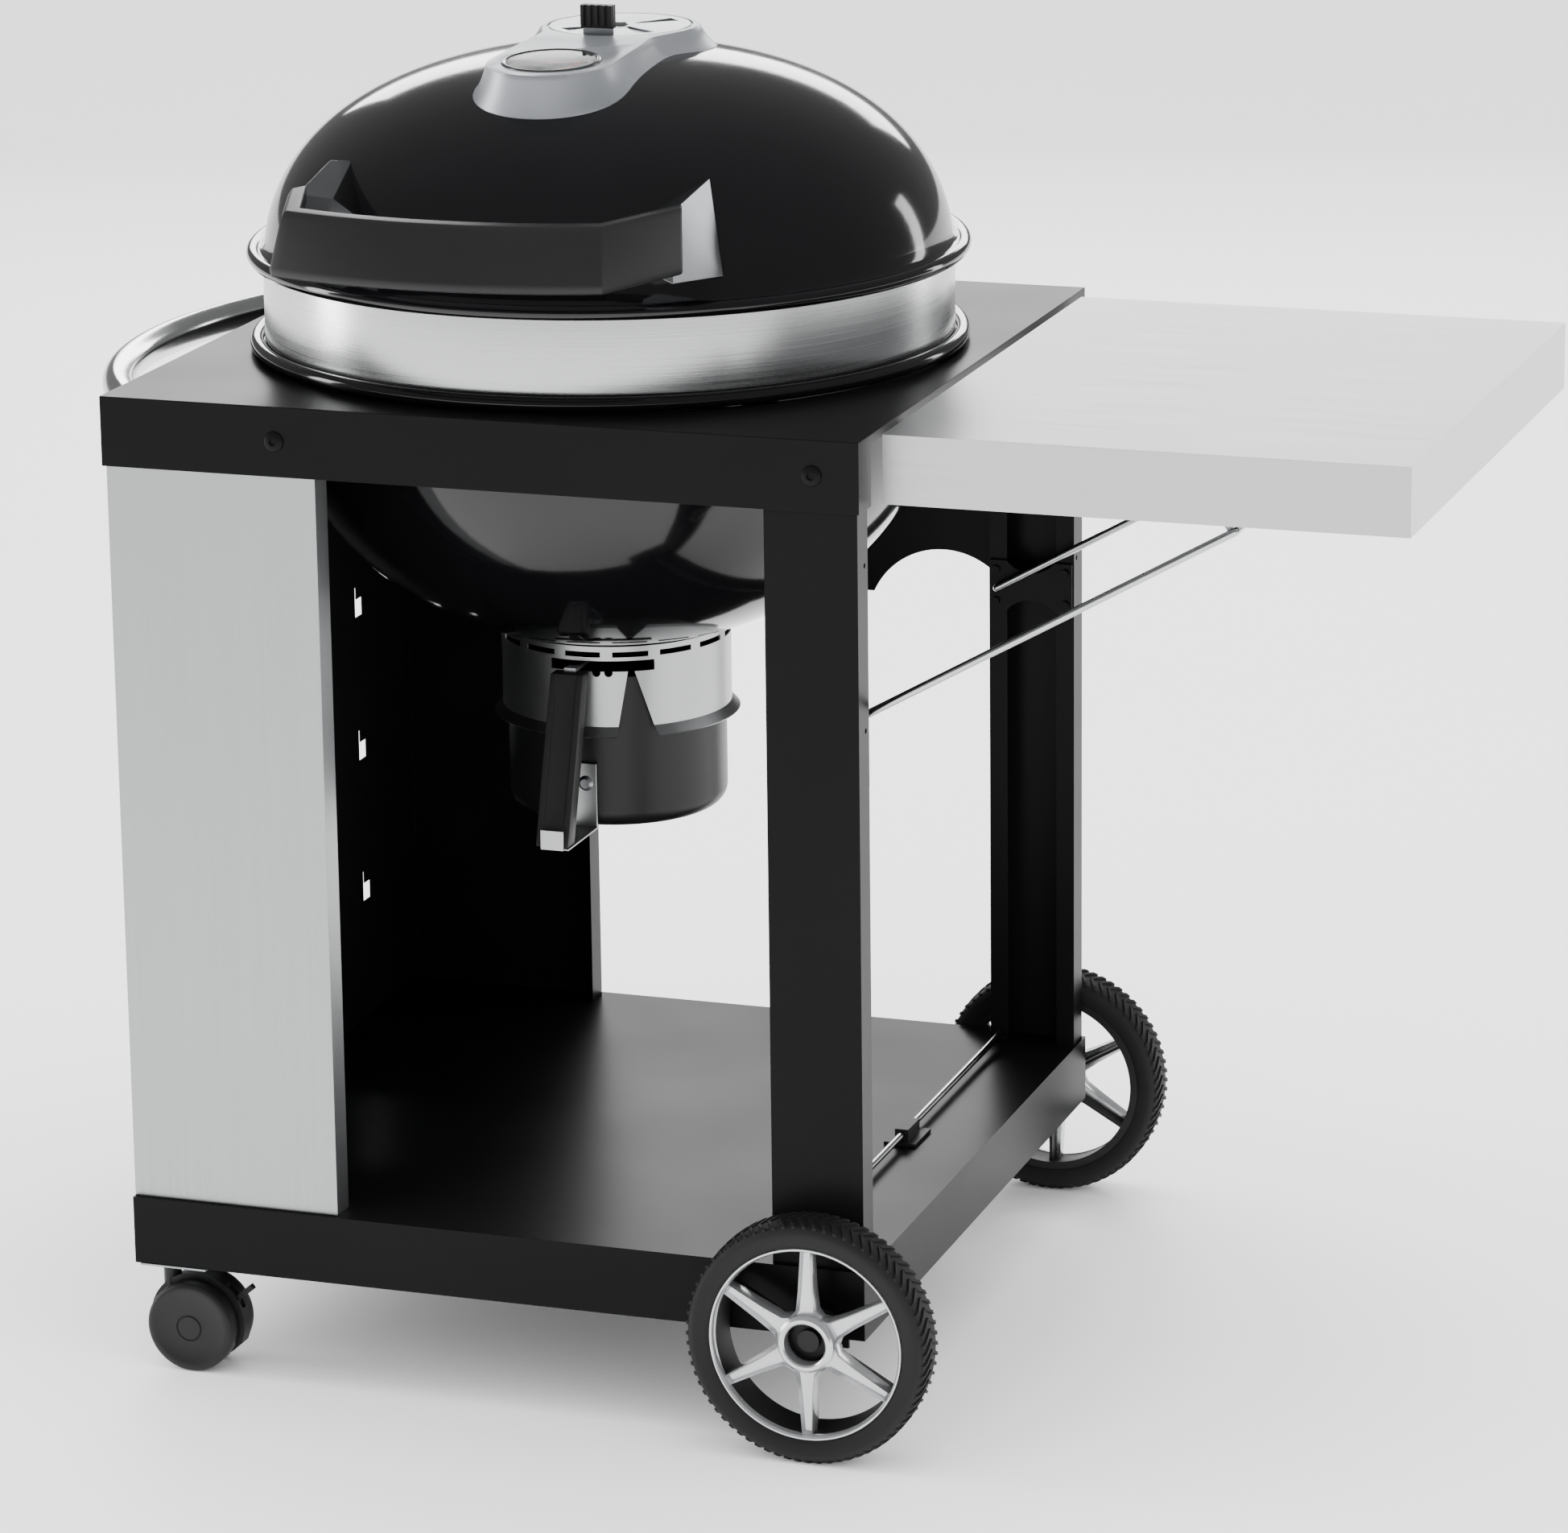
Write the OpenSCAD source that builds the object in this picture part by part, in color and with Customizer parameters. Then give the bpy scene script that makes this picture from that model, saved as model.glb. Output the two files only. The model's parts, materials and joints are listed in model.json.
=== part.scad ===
// Kettle charcoal grill on a rolling cart with a fold-down side shelf.
// +X runs right along the front, +Y to the back, +Z up, and the casters and wheels stand on Z = 0.
// Lengths below are taken from the kettle's axis; at_origin() then moves the whole grill so that
// the middle of its footprint is at X = 0, Y = 0.

/* [Kettle] */
// Outer radius of the lid's rolled bead
lid_bead_r = 298; // [290:1:304]
// Height of the lid's top above the floor
lid_top_z = 1064; // [1050:1:1080]
// Depth of the bowl below its rim
bowl_depth = 253; // [245:1:256]
// Height of the stainless band that shows between bowl and lid
band_h = 72; // [60:1:76]

/* [Cart] */
// Height of the table top above the floor
table_z = 821; // [815:1:824]
// Depth of the folded aprons on the table and the base
apron_h = 57; // [45:1:60]
// Height of the base shelf's floor
base_z = 149; // [147:1:155]
// Width of the left panels and their returns
panel_w = 180; // [140:5:190]
// Width of the two right legs
leg_w = 76; // [60:2:78]

/* [Side shelf] */
// How far the shelf reaches out from its hinge edge
shelf_len = 416; // [380:1:416]
// Angle of the raised support bail above the level
bail_angle = 29.3; // [28:0.1:30]

/* [Running gear] */
// Outer radius of the large wheels
wheel_r = 100.6; // [98:0.1:101]
// Outer radius of the caster wheels
caster_r = 38; // [34:1:39]

/* [Hidden] */
$fn = 96;

sheet = 1.6;           // folded steel of the table and base
thin = 1.2;            // panels, legs and band
slack = 0.4;           // gap between neighbouring parts

// Cart outline
left_x = -316;
right_x = 319;
front_y = -322;
back_y = 306;
mid_y = (front_y + back_y) / 2;
base_front_y = -325;
base_back_y = 309;
base_left_x = -313;
table_under = table_z - sheet;
apron_z = table_z - apron_h;
leg_x0 = 317 - leg_w;
leg_x1 = 317;
leg_front_y = front_y + sheet + slack;
leg_back_y = back_y - sheet - slack;
leg_depth = 25;
lip_w = 16;
panel_x0 = base_left_x;
panel_x1 = base_left_x + panel_w;

// Kettle
wall = 2;
bowl_a = 280;
bowl_n = 2.2;
rim_z = 825;
bead = 6;
bowl_bead_r = lid_bead_r - 1;
band_r = 284.5;
band_top = rim_z + band_h;
lid_a = 284.4;
lid_n = 2.3;
lid_z0 = 883.9;
lid_h = lid_top_z - lid_z0;
lid_skirt_t = 3.3;
grate_z = 850;
grate_r = 268;
coal_r = 194;
coal_z = 642;

// Lid fittings
cap_z = lid_top_z + 12;
dial_y = -124;
dial_r = 40;
dial_lean = 4;
dial_z = cap_z - 13.5;
damper_y = 36;
damper_r = 58;
vent_count = 4;
hinge_y = 312;
hinge_z = 901;
hinge_pin_r = 4;
grip_turn = 19.4;
grip_reach = 411;

// Ash catcher
ash_r = 96;
ash_low = 507;
ash_top = 582;
pot_r = 91.5;
pot_z0 = 425;
pot_z1 = 556;
lever_z = 566;
handle_w = 29;

// Side shelf and bail
shelf_x0 = 326;
shelf_x1 = shelf_x0 + shelf_len;
shelf_y0 = -284;
shelf_y1 = 270;
shelf_z = table_z - 1;
shelf_h = 55;
shelf_hinge_x = 324;
shelf_hinge_z = shelf_z - 15;
shelf_pin_r = 2.5;
hinge_ys = [-200, 190];
bail_x = 252;
bail_z = 562;
bail_len = 405;
bail_wire = 3.25;
bail_y0 = -278.5;
bail_y1 = 264.5;
bar_x = bail_x + bail_len * cos(bail_angle);
bar_z = bail_z + bail_len * sin(bail_angle);

// Push handle
tube_r = 14;
tube_arc = 389;
tube_cx = -18;
tube_z = table_z - 26;
flange_t = 3;
tube_end_y = sqrt(pow(tube_arc, 2) - pow(tube_cx - left_x, 2));

// Running gear
axle_x = 283;
axle_r = 6;
wheel_w = 41;
front_wheel_y = base_front_y - 5 - wheel_w / 2;
rear_wheel_y = base_back_y + 5 + wheel_w / 2;
rim_r = 81;
stem_x = -292;
stem_dy = 298 + mid_y;
caster_x = -268;
caster_w = 50;
disc_w = 17;
plate_z = 90.5;
pedal_x = caster_x + 32;
pedal_z = caster_r + 20;

// Footprint
foot_x0 = tube_cx - tube_arc - tube_r;
foot_x1 = shelf_x1;
foot_y0 = -grip_reach;
foot_y1 = rear_wheel_y + wheel_w / 2;

module at_origin() {
    translate([-(foot_x0 + foot_x1) / 2, -(foot_y0 + foot_y1) / 2, 0]) children();
}

// ---- shared shapes ----

// Points of a kettle shell's outline, from its skirt to its pole
function shell(a, c, z0, n, side, t0, steps) =
    [for (i = [0:steps]) let (t = t0 + (90 - t0) * i / steps)
        [a * pow(max(0, cos(t)), 2 / n), z0 + side * c * pow(sin(t), 2 / n)]];

function backwards(p) = [for (i = [len(p) - 1:-1:0]) p[i]];

// Height of the bowl's inner face at a radius
function bowl_floor(r) = rim_z - (bowl_depth - wall) * pow(1 - pow(r / (bowl_a - wall), bowl_n), 1 / bowl_n);

// Box between two corners
module block(p, q) {
    translate(p) cube(q - p);
}

// Rod along Y
module y_rod(x, y0, y1, z, r) {
    translate([x, y0, z]) rotate([-90, 0, 0]) cylinder(h = y1 - y0, r = r);
}

// Rod along X
module x_rod(x0, x1, y, z, r) {
    translate([x0, y, z]) rotate([0, 90, 0]) cylinder(h = x1 - x0, r = r);
}

// The lid's outer form, filled, for cutting what stands on it
module lid_solid(grow = 0) {
    rotate_extrude()
        polygon(concat([[0, lid_z0]],
            shell(lid_a + grow, lid_h + grow, lid_z0, lid_n, 1, 0, 28)));
}

// Plan outline in X and Z drawn along Y
module along_y(y0, y1) {
    translate([0, y1, 0]) rotate([90, 0, 0]) linear_extrude(y1 - y0) children();
}

// Profile in Y and Z drawn along X
module along_x(x0, x1) {
    translate([x0, 0, 0]) rotate([90, 0, 90]) linear_extrude(x1 - x0) children();
}

// ---- kettle ----

module bowl() {
    outer = shell(bowl_a, bowl_depth, rim_z, bowl_n, -1, 0.35, 26);
    inner = shell(bowl_a - wall, bowl_depth - wall, rim_z, bowl_n, -1, 0, 26);
    color("#141516") difference() {
        rotate_extrude() {
            polygon(concat([[bowl_bead_r - 8, rim_z], [bowl_bead_r - 8, rim_z - wall]],
                outer, backwards(inner)));
            translate([bowl_bead_r - bead, rim_z + bead / 2]) circle(r = bead);
        }
        translate([0, 0, rim_z - bowl_depth - 1]) cylinder(h = 6, r = 5.4);
        for (a = [0:120:240])
            rotate([0, 0, a]) rotate_extrude(angle = 24)
                translate([24, rim_z - bowl_depth - 1]) square([54, 16]);
    }
}

module stainless_band() {
    color("#c9cbcc") translate([0, 0, rim_z]) difference() {
        cylinder(h = band_h, r = band_r);
        translate([0, 0, -1]) cylinder(h = band_h + 2, r = band_r - thin);
    }
}

module bowl_brackets() {
    color("#2a2c2e") for (a = [45:90:315]) rotate([0, 0, a]) {
        block([bowl_a + 0.6, -15, table_under - 26], [bowl_a + 2.6, 15, table_under]);
        block([bowl_a + 2.6, -15, table_under - 2], [bowl_a + 22, 15, table_under]);
    }
}

module grate_supports() {
    color("#b9bcbe") for (a = [45:90:315]) rotate([0, 0, a]) {
        block([grate_r - 8, -10, grate_z - 5.3], [band_r - thin - 0.8, 10, grate_z - 3.3]);
        block([band_r - thin - 2.8, -10, grate_z - 20], [band_r - thin - 0.8, 10, grate_z - 5.3]);
        block([coal_r - 12, -8, coal_z - 6.3], [coal_r, 8, coal_z - 3.3]);
    }
}

// A round grate of parallel rods inside a flat ring
module rod_grate(r, z, pitch, rod) {
    count = floor((r - pitch / 2) / pitch);
    translate([0, 0, z - 3]) difference() {
        cylinder(h = 6, r = r + 2);
        translate([0, 0, -1]) cylinder(h = 8, r = r - 2);
    }
    for (i = [-count:count]) {
        half = sqrt(r * r - pow(i * pitch, 2));
        x_rod(-half, half, i * pitch, z, rod);
    }
}

module charcoal_grate() {
    color("#8f9294") rod_grate(coal_r, coal_z, 28, 2.5);
}

module cooking_grate() {
    color("#a9acae") {
        rod_grate(grate_r, grate_z, 24, 2.5);
        for (s = [-1, 1]) {
            for (y = [-40, 40])
                translate([s * (grate_r - 8), y, grate_z]) cylinder(h = 30, r = 2.5);
            y_rod(s * (grate_r - 8), -42.5, 42.5, grate_z + 30, 2.5);
        }
    }
}

module lid_hinge_base() {
    color("#2b2d2f") difference() {
        union() {
            block([-30, band_r + 0.4, 840], [30, band_r + 2.6, 886]);
            for (x = [-30, 22]) along_x(x, x + 8) hull() {
                translate([band_r + 2.6, 842]) square([6, 42]);
                translate([hinge_y, hinge_z]) circle(r = 6.5, $fn = 32);
            }
        }
        x_rod(-31, 31, hinge_y, hinge_z, hinge_pin_r);
    }
}

module lid_hinge_pin() {
    color("#b4b7b9") {
        x_rod(-32, 32, hinge_y, hinge_z, hinge_pin_r);
        for (x = [-34, 30.2]) x_rod(x, x + 3.8, hinge_y, hinge_z, 6);
    }
}

// ---- lid ----

module lid_shell() {
    outer = shell(lid_a, lid_h, lid_z0, lid_n, 1, lid_skirt_t, 26);
    inner = shell(lid_a - wall, lid_h - wall, lid_z0, lid_n, 1, lid_skirt_t, 26);
    color("#121314") difference() {
        rotate_extrude() {
            polygon(concat(outer, backwards(inner)));
            translate([lid_a - 1.2, band_top + 0.6]) square([bead + 2, 2.6]);
            translate([lid_bead_r - bead, band_top + 4.5]) circle(r = bead);
        }
        at_dial() translate([0, 0, -40]) cylinder(h = 60, r = 3.2);
        translate([0, damper_y, 0]) for (i = [0:vent_count - 1])
            rotate([0, 0, 45 + i * 360 / vent_count])
                translate([32, 0, lid_top_z - 40]) cylinder(h = 60, r = 10);
    }
}

// Flat-topped cover with a front lobe for the dial and a rear lobe for the damper
module bezel_form(inset, top) {
    translate([0, dial_y, 1026]) cylinder(h = top - 1026, r1 = 60 - inset, r2 = 49 - inset);
    translate([0, damper_y, 1036]) cylinder(h = top - 1036, r1 = 80 - inset, r2 = 67 - inset);
    along_y(dial_y, damper_y)
        polygon([[-58 + inset, 1030], [58 - inset, 1030], [47 - inset, top], [-47 + inset, top]]);
}

// One narrow vent opening that widens outward
module vent_slot() {
    polygon([[14, -2], [50, -8], [50, 8], [14, 2]]);
}

module vent_bezel() {
    color("#a6acb2") difference() {
        bezel_form(0, cap_z);
        bezel_form(3, cap_z - 8);
        // Top falls away towards the cook
        translate([0, -24, cap_z]) rotate([3, 0, 0]) block([-90, -200, 0], [90, 0, 30]);
        lid_solid(0.1);
        at_dial() translate([0, 0, -60]) cylinder(h = 100, r = dial_r + 0.1);
        translate([0, damper_y, cap_z - 1.4]) cylinder(h = 5, r = damper_r + 2);
        translate([0, damper_y, cap_z - 10]) {
            cylinder(h = 20, r = 3);
            for (i = [0:vent_count - 1])
                rotate([0, 0, 45 + i * 360 / vent_count]) linear_extrude(20) vent_slot();
        }
    }
}

// Stands a thermometer part on the case's floor, leaning towards the cook
module at_dial() {
    translate([0, dial_y, dial_z]) rotate([dial_lean, 0, 0]) children();
}

module thermometer_case() {
    color("#c4c7c9") at_dial() difference() {
        cylinder(h = 10, r = dial_r);
        translate([0, 0, 5]) cylinder(h = 6, r = dial_r - 4);
    }
}

module thermometer_dial() {
    color("#1a1b1d") at_dial() translate([0, 0, 5]) {
        cylinder(h = 0.8, r = dial_r - 4.1);
        cylinder(h = 2.6, r = 1);
    }
}

module thermometer_glass() {
    color("#9fb4bd") at_dial() translate([0, 0, 8]) cylinder(h = 1.2, r = dial_r - 4.1);
}

module thermometer_stem() {
    color("#b8bbbd") at_dial() translate([0, 0, -84]) {
        cylinder(h = 84, r = 3);
        translate([0, 0, 46]) cylinder(h = 8, r = 8, $fn = 6);
    }
}

module thermometer_needle() {
    color("#c22d22") at_dial() translate([0, 0, 6.2]) difference() {
        union() {
            cylinder(h = 0.8, r = 4);
            rotate([0, 0, 20]) linear_extrude(0.8)
                polygon([[-9, -2], [-9, 2], [30, 0.6], [30, -0.6]]);
        }
        translate([0, 0, -1]) cylinder(h = 3, r = 1.06);
    }
}

// Faceted form of the bracket at the right end of the lid handle
module bracket_form() {
    corners = [
        [160, -204, 997], [150, -184, 994], [136, -216, 976], [113, -240, 953],
        [150, -238, 925], [177, -224, 925], [156, -282, 984], [132, -268, 979],
        [160, -292, 931], [142, -286, 936]];
    hull() for (p = corners) translate(p) cube(0.5, center = true);
}

module handle_bracket() {
    difference() {
        bracket_form();
        lid_solid(0.1);
    }
}

module lid_handle_brackets() {
    color("#5d6163") {
        handle_bracket();
        mirror([1, 0, 0]) handle_bracket();
    }
}

// Cross-section of the grip's bar: distance from the kettle's axis, then height
module grip_section() {
    polygon([[grip_reach - 15, 982], [grip_reach, 944], [grip_reach - 3, 940],
        [grip_reach - 14, 940], [grip_reach - 40, 976], [grip_reach - 39, 982],
        [grip_reach - 20, 984]]);
}

// The bar's cut end at a bearing and a shift, for the swept-back end pieces
module grip_end(shift) {
    translate(shift) rotate([0, 0, grip_turn - 90]) rotate([90, 0, 0]) linear_extrude(0.4) grip_section();
}

module lid_handle_grip() {
    color("#1d1e1f") difference() {
        union() {
            rotate([0, 0, -90 - grip_turn]) rotate_extrude(angle = 2 * grip_turn, $fn = 180)
                grip_section();
            for (s = [0, 1]) mirror([s, 0, 0]) hull() {
                grip_end([0, 0, 0]);
                grip_end([33, 92, 0]);
            }
        }
        bracket_form();
        mirror([1, 0, 0]) bracket_form();
    }
}

module lid_hinge_leaf() {
    color("#2b2d2f") difference() {
        along_x(-21, 21) hull() {
            translate([hinge_y, hinge_z]) circle(r = 6.5, $fn = 32);
            translate([274, 926]) square([8, 20]);
        }
        lid_solid(0.1);
        x_rod(-22, 22, hinge_y, hinge_z, hinge_pin_r + 0.05);
    }
}

module damper_disc() {
    color("#b9bec2") translate([0, damper_y, cap_z - 1.1]) difference() {
        union() {
            cylinder(h = 1, r = damper_r);
            block([-13, -damper_r + 6, 1], [13, -damper_r + 7.2, 12]);
        }
        translate([0, 0, -1]) {
            cylinder(h = 4, r = 3.08);
            for (i = [0:vent_count - 1])
                rotate([0, 0, 45 + i * 360 / vent_count]) linear_extrude(3) vent_slot();
        }
    }
}

module damper_tab() {
    tab_y = damper_y - damper_r + 6;
    color("#191a1b") difference() {
        union() {
            block([-14, tab_y - 3, cap_z + 5], [14, tab_y + 4, cap_z + 24]);
            for (i = [-2:2])
                block([i * 6 - 1.5, tab_y - 5, cap_z + 7], [i * 6 + 1.5, tab_y - 3, cap_z + 24]);
        }
        block([-13, tab_y, cap_z], [13, tab_y + 1.2, cap_z + 10.9]);
    }
}

module damper_rivet() {
    color("#d0d3d5") translate([0, damper_y, cap_z - 4]) {
        cylinder(h = 4.2, r = 3);
        translate([0, 0, 4.2]) cylinder(h = 2, r1 = 7, r2 = 4);
    }
}

// ---- ash catcher ----

module ash_ring() {
    color("#c3c6c8") difference() {
        rotate_extrude()
            polygon([[ash_r - thin, ash_top], [ash_r, ash_top], [ash_r, ash_low + 7],
                [ash_r + 7, ash_low], [ash_r + 6, ash_low - 1], [ash_r - thin, ash_low + 6.4]]);
        // Air slots around the top edge
        for (a = [0:24:336]) rotate([0, 0, a]) rotate_extrude(angle = 18)
            translate([ash_r - 4, ash_top - 9]) square([8, 4.6]);
        // Slot that the lever runs in
        rotate([0, 0, -104]) rotate_extrude(angle = 53)
            translate([ash_r - 4, lever_z - 5]) square([8, 9]);
        // Wedge that lets the catch drop out
        rotate([0, 0, -60]) along_x(ash_r - 15, ash_r + 15)
            polygon([[-18, ash_low - 5], [18, ash_low - 5], [-2.5, lever_z - 3], [-7, lever_z - 3]]);
        // Rest notches under the slot
        for (a = [-80, -74]) rotate([0, 0, a])
            x_rod(ash_r - 15, ash_r + 15, 0, lever_z - 6, 3.5);
    }
}

module ash_pot() {
    turn = 14;
    color("#161718") rotate_extrude()
        polygon(concat([[0, pot_z0]],
            [for (a = [0:15:90]) [pot_r - turn + turn * sin(a), pot_z0 + turn - turn * cos(a)]],
            [[pot_r, pot_z1], [pot_r - 2.5, pot_z1], [pot_r - thin, pot_z1 - 2]],
            [for (a = [90:-15:0]) [pot_r - turn + (turn - thin) * sin(a),
                pot_z0 + turn - (turn - thin) * cos(a)]],
            [[0, pot_z0 + thin]]));
}

// Slanted line of the handle: front face at a height
function handle_y(z) = -(pot_r + 14) - (lever_z - z) * 0.3;

module ash_strap() {
    z0 = pot_z0 + 3;
    front = handle_y(z0) - 16;
    color("#c3c6c8") {
        // Plate riveted to the pot
        block([-4, -pot_r - 3.2, z0], [15, -pot_r - 1.2, 482]);
        // Foot under the grip
        block([-9, front, z0 - 1.6], [15, -pot_r - 1.2, z0]);
        // Tip that holds the grip's lower end
        block([-9, front - 1.6, z0 - 1.6], [11, front, z0 + 15]);
    }
}

module ash_grip() {
    z0 = pot_z0 + 3;
    z1 = lever_z - 2.2;
    color("#1b1c1d") difference() {
        along_x(-handle_w / 2, handle_w / 2)
            polygon([[handle_y(z0) - 15.6, z0 + 0.2], [handle_y(z0) + 1, z0 + 0.2],
                [handle_y(z1) + 1, z1], [handle_y(z1) - 13, z1]]);
        // Blank recessed panel on the face
        along_x(-8, 8)
            polygon([[handle_y(470) - 20, 470], [handle_y(470) - 13.6, 470],
                [handle_y(545) - 12.4, 545], [handle_y(545) - 20, 545]]);
    }
}

module ash_rivets() {
    color("#d3d5d6") translate([5.5, -pot_r - 3.2, 465])
        rotate([90, 0, 0]) cylinder(h = 2.4, r1 = 6.5, r2 = 4);
}

module vent_sweeper() {
    r0 = 8;
    r1 = 86;
    steps = 6;
    low = [for (i = [0:steps]) let (r = r0 + (r1 - r0) * i / steps) [r, bowl_floor(r) + 0.6]];
    high = [for (p = low) [p[0], p[1] + 2]];
    hub_z = bowl_floor(0) + 0.6;
    color("#8c8f91") {
        for (a = [-28, 92, 212]) rotate([0, 0, a]) rotate_extrude(angle = 26)
            polygon(concat(low, backwards(high)));
        translate([0, 0, hub_z]) cylinder(h = 5, r = 14);
        translate([0, 0, lever_z - 2]) cylinder(h = hub_z - lever_z + 2, r = 5);
        block([-5, handle_y(lever_z) - 6, lever_z - 2], [5, 0, lever_z + 1]);
    }
}

// ---- cart ----

module table_top() {
    color("#202224") difference() {
        block([left_x, front_y, apron_z], [right_x, back_y, table_z]);
        block([left_x + sheet, front_y + sheet, apron_z - 1], [right_x - sheet, back_y - sheet, table_under]);
        translate([0, 0, apron_z]) cylinder(h = apron_h + 1, r = 288);
        // The right side is open between the legs, where the folded shelf swings in
        block([right_x - 3, front_y + 32, apron_z - 1], [right_x + 1, back_y - 32, table_z - 8]);
    }
}

module table_bolts() {
    // One domed bolt through an apron
    module bolt() {
        cylinder(h = 3, r1 = 7.5, r2 = 5);
    }
    color("#0e0f10") {
        for (x = [-166, 281]) {
            translate([x, front_y, table_z - 28]) rotate([90, 0, 0]) bolt();
            translate([x, back_y, table_z - 28]) rotate([-90, 0, 0]) bolt();
        }
    }
}

module front_panel() {
    y0 = leg_front_y;
    color("#b3b5b6") {
        block([panel_x0, y0, base_z], [panel_x1, y0 + thin, table_under]);
        block([panel_x1 - thin, y0 + thin, base_z], [panel_x1, y0 + 24, table_under]);
    }
}

module side_panel() {
    y0 = leg_front_y + thin + slack;
    y1 = leg_back_y - thin - slack;
    color("#242628") difference() {
        union() {
            block([panel_x0, y0, base_z], [panel_x0 + thin, y1, table_under]);
            block([panel_x0 + thin, y0, base_z], [panel_x0 + 18, y0 + thin, table_under]);
        }
        // Three keyed openings for tool hooks
        for (z = [265, 395, 525]) {
            block([panel_x0 - 1, 182, z - 9], [panel_x0 + 3, 198, z + 7]);
            block([panel_x0 - 1, 182, z + 6], [panel_x0 + 3, 185, z + 18]);
        }
    }
}

module rear_left_panel() {
    y1 = leg_back_y;
    color("#242628") {
        block([panel_x0, y1 - thin, base_z], [panel_x1, y1, table_under]);
        block([panel_x1 - thin, y1 - 24, base_z], [panel_x1, y1 - thin, table_under]);
    }
}

// Channel-section leg: web at y = 0, lips at y = leg_depth
module channel_leg() {
    block([leg_x0, 0, base_z], [leg_x1, thin, table_under]);
    for (x = [leg_x0, leg_x1 - thin])
        block([x, thin, base_z], [x + thin, leg_depth, table_under]);
    block([leg_x0 + thin, leg_depth - thin, base_z], [leg_x0 + lip_w, leg_depth, table_under]);
    block([leg_x1 - lip_w, leg_depth - thin, base_z], [leg_x1 - thin, leg_depth, table_under]);
}

// Bail pivot holes and bracket screw holes through the lips
module lip_holes() {
    for (z = [588, 720])
        x_rod(leg_x1 - 5, leg_x1 + 5, 17, z, 2.2);
    y_rod(bail_x, 15, 40, bail_z, bail_wire + 0.4);
}

module front_right_leg() {
    color("#1c1e20") translate([0, leg_front_y, 0]) difference() {
        channel_leg();
        lip_holes();
    }
}

module rear_right_leg() {
    color("#1c1e20") translate([0, leg_back_y, 0]) mirror([0, 1, 0]) difference() {
        channel_leg();
        lip_holes();
    }
}

module rear_apron() {
    x0 = panel_x1 + slack;
    x1 = leg_x0 - slack;
    arch_r = 70;
    color("#1e2022") along_y(leg_back_y - thin, leg_back_y) difference() {
        translate([x0, 542]) square([x1 - x0, table_under - 542]);
        for (x = [x1 - 48, x0 + 50]) translate([x, 513]) circle(r = arch_r);
    }
}

module base_shelf() {
    z0 = base_z - apron_h;
    color("#1f2123") difference() {
        block([base_left_x, base_front_y, z0], [right_x, base_back_y, base_z]);
        block([base_left_x + sheet, base_front_y + sheet, z0 - 1],
            [right_x - sheet, base_back_y - sheet, base_z - sheet]);
        y_rod(axle_x, base_front_y - 1, base_back_y + 1, wheel_r, axle_r);
    }
}

module axle() {
    hub_face = wheel_w / 2 - 18;
    color("#6e7173") {
        y_rod(axle_x, front_wheel_y - hub_face, rear_wheel_y + hub_face, wheel_r, axle_r);
        y_rod(axle_x, front_wheel_y - hub_face - 6.3, front_wheel_y - hub_face - 0.3, wheel_r, 9);
        y_rod(axle_x, front_wheel_y - hub_face - 0.3, front_wheel_y - hub_face, wheel_r, axle_r);
        y_rod(axle_x, rear_wheel_y + hub_face + 0.3, rear_wheel_y + hub_face + 6.3, wheel_r, 9);
        y_rod(axle_x, rear_wheel_y + hub_face, rear_wheel_y + hub_face + 0.3, wheel_r, axle_r);
        y_rod(axle_x, base_front_y - 4.6, base_front_y, wheel_r, 9);
        y_rod(axle_x, base_back_y, base_back_y + 4.6, wheel_r, 9);
    }
}

module axle_brackets() {
    color("#2a2c2e") for (y = [base_front_y + sheet, base_back_y - sheet - 3]) difference() {
        block([axle_x - 22, y, 84], [axle_x + 22, y + 3, base_z - sheet]);
        y_rod(axle_x, y - 1, y + 4, wheel_r, axle_r);
    }
}

// ---- casters ----

module caster_mounts() {
    plate_under = base_z - apron_h;
    color("#9a9d9f") for (s = [-1, 1]) translate([0, mid_y + s * stem_dy, 0]) {
        block([-308, -28, plate_z], [-250, 28, plate_under]);
        translate([stem_x, 0, plate_z - 22]) cylinder(h = 22, r = 5);
    }
}

// Hood with the stem housing and a slot for the pedal; y = 0 is the middle of the caster
module caster_hood() {
    color("#1a1b1d") {
        difference() {
            union() {
                translate([stem_x, 0, 58]) cylinder(h = plate_z - 58.8, r = 7.4);
                along_y(-7, 7) difference() {
                    translate([caster_x, caster_r]) circle(r = caster_r + 4);
                    translate([caster_x - 60, -20]) square([120, 42]);
                }
            }
            translate([stem_x, 0, plate_z - 22.4]) cylinder(h = 40, r = 5.06);
            y_rod(caster_x, -20, 20, caster_r, 4.06);
            block([pedal_x - 6, -3.2, pedal_z - 6], [pedal_x + 40, 3.2, pedal_z + 50]);
        }
        y_rod(pedal_x, -5, 5, pedal_z, 1.4);
    }
}

module caster_wheels() {
    gap = caster_w / 2 - disc_w;
    color("#26282a") {
        for (s = [-1, 1]) translate([caster_x, s * (gap + disc_w / 2), caster_r]) rotate([90, 0, 0])
            rotate_extrude() polygon([[0, -disc_w / 2], [caster_r - 2, -disc_w / 2],
                [caster_r, -disc_w / 2 + 2], [caster_r, disc_w / 2 - 2],
                [caster_r - 2, disc_w / 2], [0, disc_w / 2]]);
        y_rod(caster_x, -gap - 1, gap + 1, caster_r, 4);
    }
}

module caster_brake() {
    color("#151617") translate([pedal_x, 0, pedal_z]) difference() {
        along_y(-2.8, 2.8) {
            circle(r = 4.2);
            rotate(40) translate([0, -2.4]) square([21, 4.8]);
        }
        y_rod(0, -8, 8, 0, 1.46);
    }
}

module front_caster() {
    translate([0, mid_y - stem_dy, 0]) children();
}

module rear_caster() {
    translate([0, mid_y + stem_dy, 0]) children();
}

// ---- wheels ----

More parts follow.
